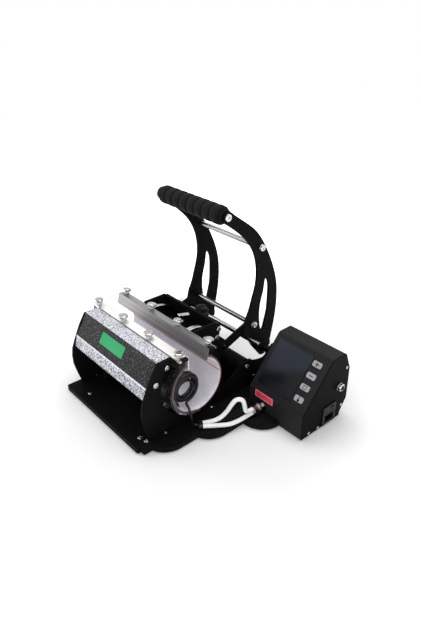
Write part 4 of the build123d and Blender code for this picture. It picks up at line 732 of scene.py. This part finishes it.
# Bolts and screws: plated steel. Socket-head bolts hold the side plates, the carriage
# and the pan, and close the ends of the rods. Cross-recessed screws close the ends of the
# handle's tube and hold the box's right end.
def recess(radius, shape, angle):
    """How far a hexagon or a rounded cross reaches from its middle at an angle."""
    if shape == "hex":
        return radius * math.cos(math.pi / 6) / math.cos(angle % (math.pi / 3) - math.pi / 6)
    return radius * (0.34 + 0.66 * math.cos(2 * angle) ** 6)


def bolt_rows(radius, high, hole, shape):
    """Points of one bolt head, ring by ring, from its seat over its rim into its recess."""
    return [
        (radius, 0.02, None), (radius, high * 0.62, None), (radius * 0.95, high * 0.86, None),
        (radius * 0.84, high * 0.98, None), (hole * 1.2, high, None), (hole, high * 0.97, shape),
        (hole * 0.95, high * 0.35, shape), (hole * 0.3, high * 0.3, shape),
    ]


def bolts(name, node_name, body, spots):
    """All like bolts as one piece, for a node or, with none, let into the ends of rods;
    spots are (place, way, radius, height, recess shape)."""
    points, faces = [], []
    sides = 36
    for place, way, radius, high, shape in spots:
        way = Vector(way)
        side = Vector((0, 0, 1)) if abs(way.z) < 0.5 else Vector((1, 0, 0))
        other = way.cross(side)
        first = len(points)
        rows = bolt_rows(radius, high, radius * (0.48 if shape == "hex" else 0.62), shape)
        for out, along, form in rows:
            for turn in range(sides):
                angle = 2 * math.pi * turn / sides
                reach = recess(out, form, angle) if form else out
                spoke = side * math.cos(angle) + other * math.sin(angle)
                points.append(place + (way * along + spoke * reach) / 1000.0)
        for step in range(len(rows) - 1):
            faces += ring_faces(first + step * sides, first + (step + 1) * sides, sides)
        faces.append(tuple(first + turn for turn in range(sides)))
        last = first + (len(rows) - 1) * sides
        faces.append(tuple(last + turn for turn in range(sides)))
    group = make(name, points, faces, [chrome_plate], body)
    sharp_edges(group)
    if node_name:
        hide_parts(node_name)


plate_face, pan_top, plate_foot_top = 117, 12.0, 15.0
frame_bolts = []
for side in (-1, 1):
    for y, z in ((73, 146), (48, 122.5), (261, 61.5)):
        frame_bolts.append((at(side * plate_face, y, z), (side, 0, 0), 5.5, 3.0, "hex"))
    frame_bolts.append((at(side * plate_face, 283, 30), (side, 0, 0), 3.5, 2.0, "hex"))
for x, y in ((-66, 20), (101, 20), (115, 24)):
    frame_bolts.append((at(x, y, pan_top), (0, 0, 1), 4.5, 2.5, "hex"))
for x in (-108.0, 122.0):
    for y in (60, 167):
        frame_bolts.append((at(x, y, plate_foot_top), (0, 0, 1), 3.5, 2.5, "hex"))
bolts("frame_bolt_heads", "frame_screws", "frame", frame_bolts)
carriage_face = 78
carriage_heads = []
for side in (-1, 1):
    for y, z in ((223, 144), (219, 128)):
        carriage_heads.append((at(side * carriage_face, y, z), (side, 0, 0), 5.5, 3.5, "hex"))
bolts("carriage_bolt_heads", "carriage_bolts", "carriage", carriage_heads)
rod_end, axle_end, let_in, end_high = 93.0, 122.05, 0.4, 2.2
handle_ends, axle_ends = [], []
for side in (-1, 1):
    out = side * (rod_end - let_in)
    handle_ends.append((at(out, tube_y, tube_z), (side, 0, 0), 6.8, end_high, "cross"))
    for y, z in ((318.0, 285.0), (305.0, 127.0)):
        handle_ends.append((at(out, y, z), (side, 0, 0), 6.0, end_high, "hex"))
    out = side * (axle_end - let_in)
    axle_ends.append((at(out, 339.0, 60.0), (side, 0, 0), 7.4, end_high, "hex"))
bolts("rod_end_screws", None, "handle", handle_ends)
bolts("axle_end_screws", None, "frame", axle_ends)
box_face = 284
box_heads = [
    (at(box_face, y, z), (1, 0, 0), 3.0, 1.6, "cross")
    for y, z in ((347, 108), (344, 26), (280, 7), (255, 8))
]
bolts("box_screw_heads", "box_screws", "frame", box_heads)


# Control box: a bent steel cover with its left end, and a separate right end plate, in
# fine charcoal paint. The printed panel lies on its slope over four keys and a window.
box_paint = finish(
    "box_paint", grey(0.0045, (1, 1, 1.08)), grey(0.0105, (1, 1, 1.08)), 0.5, 1800.0, 0.25,
    worn=grey(0.03), sockets=[("Specular IOR Level", 0.07)],
)
dress("box_shell", box_paint, 0.0008)
# The right end plate takes a darker copy of the box's paint: painted shade.
dress("right_box_end", finish(
    "box_end_paint_painted_shade", grey(0.0016), grey(0.0042), 0.5, 1800.0, 0.25,
    worn=grey(0.012), sockets=[("Specular IOR Level", 0.022)]), 0.0008)
dress("control_panel", finish(
    "panel_film", grey(0.009, (1, 1.05, 1.2)), grey(0.014, (1, 1.05, 1.2)), 0.52, 1600.0, 0.12,
    sockets=[("Specular IOR Level", 0.12)]), 0.0003)
dress("circuit_board", finish(
    "board_laminate", (0.01, 0.09, 0.03, 1.0), (0.02, 0.16, 0.06, 1.0), 0.4, 300.0, 0.2), 0.0)

window_with_painted_reflection = finish(
    "display_pane", grey(0.006, (0.9, 1.0, 1.25)), grey(0.009, (0.9, 1.0, 1.25)), 0.14, 500.0, 0.01,
    sockets=[("Specular IOR Level", 0.16)],
)
# The window's upper part is painted lighter and bluer above a slanted line: a painted reflection.
pane_tree = window_with_painted_reflection.node_tree
pane_place = added(pane_tree, "TexCoord")
pane_reflection_slant = added(pane_tree, "VectorMath", "DOT_PRODUCT")
pane_reflection_slant.inputs[1].default_value = (-0.42, 0.0, 1.0)
pane_reflection_edge = added(pane_tree, "MapRange", From_Min=0.034, From_Max=0.046)
pane_painted_reflection = added(pane_tree, "Mix")
pane_painted_reflection.data_type = "RGBA"
pane_painted_reflection.inputs[7].default_value = (0.017, 0.021, 0.030, 1.0)
pane_shade = pane_tree.nodes["Principled BSDF"]
pane_dark = pane_shade.inputs["Base Color"].links[0].from_socket
join(
    pane_tree,
    (pane_place.outputs["Object"], pane_reflection_slant.inputs[0]),
    (pane_reflection_slant.outputs["Value"], pane_reflection_edge.inputs["Value"]),
    (pane_reflection_edge.outputs["Result"], pane_painted_reflection.inputs[0]),
    (pane_dark, pane_painted_reflection.inputs[6]),
    (pane_painted_reflection.outputs[2], pane_shade.inputs["Base Color"]),
)
dress("display_window", window_with_painted_reflection, 0.0004)


# Keys: four pale moulded caps standing through the panel, each with a plain printed
# sign for what it does: more, less, a stop square and a thermometer.
key_plastic = finish(
    "key_caps", grey(0.27), grey(0.35), 0.5, 700.0, 0.1, sockets=[("Specular IOR Level", 0.4)],
)
sign_ink = finish(
    "sign_ink", grey(0.004), grey(0.008), 0.6, 900.0, 0.1, sockets=[("Specular IOR Level", 0.1)],
)
slope_up = Vector((0.0, 0.62895, 0.77745))
slope_out = Vector((0.0, -0.77745, 0.62895))
slope_foot_y, slope_foot_z = 236.0, 51.5


def on_slope(x, up, out):
    """A place on the panel's slope: across, up the slope and out of it."""
    return at(x, slope_foot_y, slope_foot_z) + (slope_up * up + slope_out * out) / 1000.0


key_column, key_face = 259.0, 2.36
sign_scale, ink_depth = 1.6, 0.00012


def pushed_out(outline, depth):
    """Points and faces of a flat outline thickened by a depth vector."""
    count = len(outline)
    points = list(outline) + [p + depth for p in outline]
    faces = [tuple(range(count)), tuple(range(2 * count - 1, count - 1, -1))]
    return points, faces + ring_faces(0, count, count)


def signs(name, key_name, row, shapes):
    """The printed sign of one key, which moves with it."""
    points, faces = [], []
    for shape in shapes:
        outline = [
            on_slope(key_column + sign_scale * x, row + sign_scale * up, key_face) for x, up in shape
        ]
        more, sides = pushed_out(outline, slope_out * ink_depth)
        faces += [tuple(len(points) + n for n in face) for face in sides]
        points += more
    sign = make(name, points, faces, [sign_ink], key_name, smooth=False)


def block(x0, x1, low, high):
    """The outline of an upright rectangle."""
    return [(x0, low), (x1, low), (x1, high), (x0, high)]


bulb = [
    (1.6 * math.cos(n * math.pi / 8), -1.6 + 1.6 * math.sin(n * math.pi / 8)) for n in range(16)
]
plus_sign = [
    (-2.6, -0.5), (-0.5, -0.5), (-0.5, -2.6), (0.5, -2.6), (0.5, -0.5), (2.6, -0.5),
    (2.6, 0.5), (0.5, 0.5), (0.5, 2.6), (-0.5, 2.6), (-0.5, 0.5), (-2.6, 0.5),
]
signs("more_sign", "up_key", 93.4, [plus_sign])
signs("less_sign", "down_key", 70.6, [block(-2.6, 2.6, -0.5, 0.5)])
signs("stop_sign", "mode_key", 47.8, [
    block(-2.3, 2.3, 1.7, 2.3), block(-2.3, 2.3, -2.3, -1.7),
    block(-2.3, -1.7, -1.7, 1.7), block(1.7, 2.3, -1.7, 1.7),
])
signs("heat_sign", "timer_key", 25.0, [bulb, block(-0.5, 0.5, -0.8, 2.9)])
for key_name in ("timer_key", "mode_key", "down_key", "up_key"):
    dress(key_name, key_plastic, 0.0003)


# Mains inlet and rocker: a moulded black snap-in inlet with three plated blades, and a
# rocker switch above its socket in the same frame.
inlet_plastic = finish(
    "inlet_plastic", grey(0.003), grey(0.006), 0.38, 900.0, 0.12, sockets=[("Specular IOR Level", 0.2)],
)
dress("power_inlet", inlet_plastic, 0.0005)
dress("rocker", finish(
    "rocker_plastic", grey(0.008), grey(0.014), 0.28, 900.0, 0.05,
    sockets=[("Specular IOR Level", 0.2)]), 0.0006)
blade_foot = ((-1.15, -2.15), (1.15, -2.15), (1.15, 2.15), (-1.15, 2.15))
blade_tip = ((-0.8, -1.7), (0.8, -1.7), (0.8, 1.7), (-0.8, 1.7))
blade_height = 16.5
blade_points, blade_faces = [], []
for y in (302.0, 309.0, 316.0):
    first = len(blade_points)
    for x, section in ((266.2, blade_foot), (279.6, blade_foot), (280.6, blade_tip)):
        blade_points += [at(x, y + across, blade_height + up) for across, up in section]
    blade_faces += ring_faces(first, first + 4, 4) + ring_faces(first + 4, first + 8, 4)
    blade_faces += [tuple(first + n for n in range(4)), tuple(first + 8 + n for n in range(4))]
blades = make("inlet_blades", blade_points, blade_faces, [chrome_plate], "frame", smooth=False)


# Fuse holder: a plated screw cap with six flutes and a sunk face, in a black flange that
# is nutted through the box's right end.
holder_profile = [
    (4.0, 0.0), (5.6, 0.4), (5.6, 19.98), (8.9, 20.02), (8.9, 21.2), (8.2, 21.8), (7.7, 22.0),
    (7.8, 22.4), (7.8, 26.8), (7.1, 27.7), (6.2, 27.95), (4.9, 27.9), (4.7, 26.6), (0.4, 26.5),
]
holder_bands = [1, 1, 1, 1, 1, 1, 0, 0, 0, 0, 0, 1, 1]
holder = turned(
    "fuse_holder_cap", at(264.0, 331.0, 74.0), (1, 0, 0), holder_profile,
    [chrome("holder_chrome", 0.50, 0.12), inlet_plastic], "frame", sides=96,
    ridges=(7, 10, 6, 2.0), bands=holder_bands,
)
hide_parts("fuse_holder")


# Plates: a plain green plate on the shell's slope and a plain red one on the box's
# front, both glossy printed film, left bare. The red one has a pale printed edge.
dress("green_plate", finish(
    "green_film", (0.010, 0.30, 0.095, 1.0), (0.018, 0.40, 0.14, 1.0), 0.34, 500.0, 0.05,
    sockets=[("Specular IOR Level", 0.4)]), 0.0002)
dress("red_plate", finish(
    "red_film", (0.74, 0.045, 0.085, 1.0), (0.88, 0.075, 0.13, 1.0), 0.34, 500.0, 0.05,
    sockets=[("Specular IOR Level", 0.4)]), 0.0002)
pale_ink = finish("pale_ink", grey(0.62), grey(0.74), 0.5, 900.0, 0.05)
plate_borders = (
    (-21, 21, 6.0, 6.6), (-21, 21, -6.6, -6.0), (-21, -20.3, -6, 6), (20.3, 21, -6, 6),
)
edge_points, edge_faces = [], []
for border in plate_borders:
    outline = [at(191.0 + x, 235.19, 43.5 + z) for x, z in block(*border)]
    more, sides = pushed_out(outline, Vector((0, -ink_depth, 0)))
    edge_faces += [tuple(len(edge_points) + n for n in face) for face in sides]
    edge_points += more
red_edge = make("red_plate_edge", edge_points, edge_faces, [pale_ink], "frame", smooth=False)


# Round plug: a plated shell with a knurled locking ring, screwed on the socket at the
# box's front. Both sleeved leads leave its tail.
plug_profile = [
    (5.6, 0.02), (7.2, 0.2), (8.0, 1.0), (8.0, 7.0), (7.3, 7.6), (7.0, 8.0), (7.0, 9.0), (7.8, 9.5),
    (7.9, 15.8), (8.4, 16.6), (8.4, 19.3), (7.9, 19.95), (0.6, 20.0),
]
plug_plate = chrome("plug_plate", 0.34, 0.24)
plug = turned("round_plug", at(187.0, 230.0, 22.8), (0, -1, 0), plug_profile, [plug_plate],
              "frame", sides=96, ridges=(2, 3, 32, 0.5))
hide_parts("connector_plug")


# Sleeved leads: two soft leads in white woven glass sleeve, 8 mm thick, that bow up and
# down from the plug to a shrunk black collar beside the mat's end.
def woven(name, low, high):
    """A finish with two crossing sets of fine strands, as on a braided sleeve."""
    sleeve = finish(name, low, high, 0.8, 900.0, 0.3, patches=70.0,
                    sockets=[("Sheen Weight", 0.3), ("Specular IOR Level", 0.3)])
    tree = sleeve.node_tree
    shade = tree.nodes["Principled BSDF"]
    place = added(tree, "TexCoord")
    heights = []
    for slant in (0.9, -0.9):
        lay = added(tree, "Mapping", Rotation=(slant, slant * 0.6, slant))
        strands = added(tree, "TexWave", Scale=260.0, Distortion=0.6)
        join(
            tree,
            (place.outputs["Object"], lay.inputs["Vector"]),
            (lay.outputs["Vector"], strands.inputs["Vector"]),
        )
        heights.append(strands.outputs["Fac"])
    over = added(tree, "Math", "MAXIMUM")
    weave = added(tree, "Bump", Strength=0.4, Distance=0.0004)
    join(
        tree,
        (heights[0], over.inputs[0]), (heights[1], over.inputs[1]),
        (over.outputs[0], weave.inputs["Height"]), (weave.outputs["Normal"], shade.inputs["Normal"]),
    )
    return sleeve


def cord_curve(name, route, radius, material):
    """A cord as one smooth spline through its route's control points."""
    line = bpy.data.curves.new(name, "CURVE")
    line.dimensions = "3D"
    line.bevel_depth = radius
    line.bevel_resolution = 6
    line.resolution_u = 14
    line.use_fill_caps = True
    spline = line.splines.new("NURBS")
    spline.points.add(len(route) - 1)
    for point, place in zip(spline.points, route):
        point.co = (*at(*place), 1.0)
    spline.order_u = 3
    spline.use_endpoint_u = True
    line.materials.append(material)
    piece = bpy.data.objects.new(name, line)
    studio.collection.objects.link(piece)
    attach(piece, "frame")
    return piece


white_sleeve = woven("white_sleeve", grey(0.88), grey(0.97))
upper_route = [
    (187, 210, 27.1), (187, 193, 27.1), (186, 191, 46), (183.5, 188, 59), (177, 178, 61),
    (172.5, 170, 49), (169, 162, 34), (161.96, 143.78, 20.5), (147.56, 124.58, 17.5),
]
lower_route = [
    (187, 210, 18.5), (187, 194, 18.5), (184.5, 175, 16.6), (181, 157, 16.6),
    (166.44, 135.42, 17.5), (154.44, 119.42, 17.5),
]
sleeve_radius = 0.004
upper_lead = cord_curve("upper_white_lead", upper_route, sleeve_radius, white_sleeve)
lower_lead = cord_curve("lower_white_lead", lower_route, sleeve_radius, white_sleeve)

lead_rubber = finish(
    "lead_rubber", grey(0.003), grey(0.007), 0.30, 700.0, 0.2, sockets=[("Specular IOR Level", 0.35)],
)
collar_way = Vector((-0.6, -0.8, 0.0))
collar_side = Vector((-0.8, 0.6, 0.0))
collar_half_width, collar_half_height, collar_sides = 8.8, 4.45, 40
collar_points, collar_faces = [], []
collar_rows = ((0.0, 0.9), (0.6, 1.0), (2.4, 0.98), (4.5, 1.0), (6.6, 0.97), (8.2, 0.86), (9.0, 0.55))
for along, swell in collar_rows:
    for turn in range(collar_sides):
        angle = 2 * math.pi * turn / collar_sides
        wide = math.copysign(abs(math.cos(angle)) ** 0.7, math.cos(angle)) * collar_half_width * swell
        high = math.copysign(abs(math.sin(angle)) ** 0.8, math.sin(angle)) * collar_half_height * swell
        wrinkle = 1.0 + 0.012 * math.sin(7 * angle + along * 1.3)
        collar_points.append(
            at(151, 122, 17.5) + (collar_way * along + collar_side * wide * wrinkle
                                  + Vector((0, 0, high * wrinkle))) / 1000.0
        )
collar_last = collar_sides * (len(collar_rows) - 1)
for step in range(len(collar_rows) - 1):
    collar_faces += ring_faces(collar_sides * step, collar_sides * (step + 1), collar_sides)
collar_faces += [
    tuple(range(collar_sides)), tuple(collar_last + n for n in range(collar_sides)),
]
collar = make("lead_collar", collar_points, collar_faces, [lead_rubber], "frame")
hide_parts("mat_lead")
for lead, route, length, extras in (
    (upper_lead, upper_route, 0.134, [plug, collar]),
    (lower_lead, lower_route, 0.099, [plug, collar]),
):
    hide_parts("white_leads")


# Mat's lead: a thin black lead that climbs from the collar over the mat's end and lies
# in loose loops in the bore before it goes into the mat's lining. It is given more turns
# than it has, in two layers, so that their black also stands for the shade deep in the
# bore: a real lead, partly painted shade.
coil_y, coil_z = on_bore(16.7, 215.0)
lead_route = [
    (145.6, 114.8, 17.5), (141.6, 109.5, 17.7), (140.4, 106.4, 25.0), (141.6, 103.0, 38.0),
    (141.4, 101.5, 50.0), (137.0, 101.8, 58.0), (129.5, 103.6, 59.0),
]
# The small turns are wound first, to the left, and the wide ones back over them to the
# right. A small turn sags by as much as its size lets it.
steps_per_turn, turn_pitch = 12, 4.9
first_degrees, step_degrees = 261.0, 30.0
inner_steps, outer_steps = 43, 40
inner_across, outer_across = 123.4, 105.0
inner_radius, outer_radius = 20.6, 27.5
for n in range(inner_steps + outer_steps):
    angle = math.radians(first_degrees + step_degrees * n)
    if n < inner_steps:
        across = inner_across - turn_pitch * n / steps_per_turn
        loop_r = inner_radius + 4.4 * math.sin(angle * 0.29)
    else:
        across = outer_across + turn_pitch * (n - inner_steps) / steps_per_turn
        loop_r = outer_radius + 0.7 * math.sin(angle * 0.45 + 1.0)
    if n in (0, 1):
        loop_r += 2.4 - 1.6 * n
    sunk = 0.45 * max(0.0, 25.0 - loop_r)
    lead_route.append((
        across, coil_y + loop_r * math.cos(angle), coil_z - sunk + loop_r * math.sin(angle),
    ))
last_degrees = first_degrees + step_degrees * (inner_steps + outer_steps - 1)
for out, further in ((30.2, 18.0), (33.4, 30.0), (37.4, 38.0)):
    angle = math.radians(last_degrees + further)
    lead_route.append((122.6, coil_y + out * math.cos(angle), coil_z + out * math.sin(angle)))
lead_radius = 0.0022
mat_cord = cord_curve("mat_lead_coiled", lead_route, lead_radius, lead_rubber)
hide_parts("mat_lead", "lead_coil")
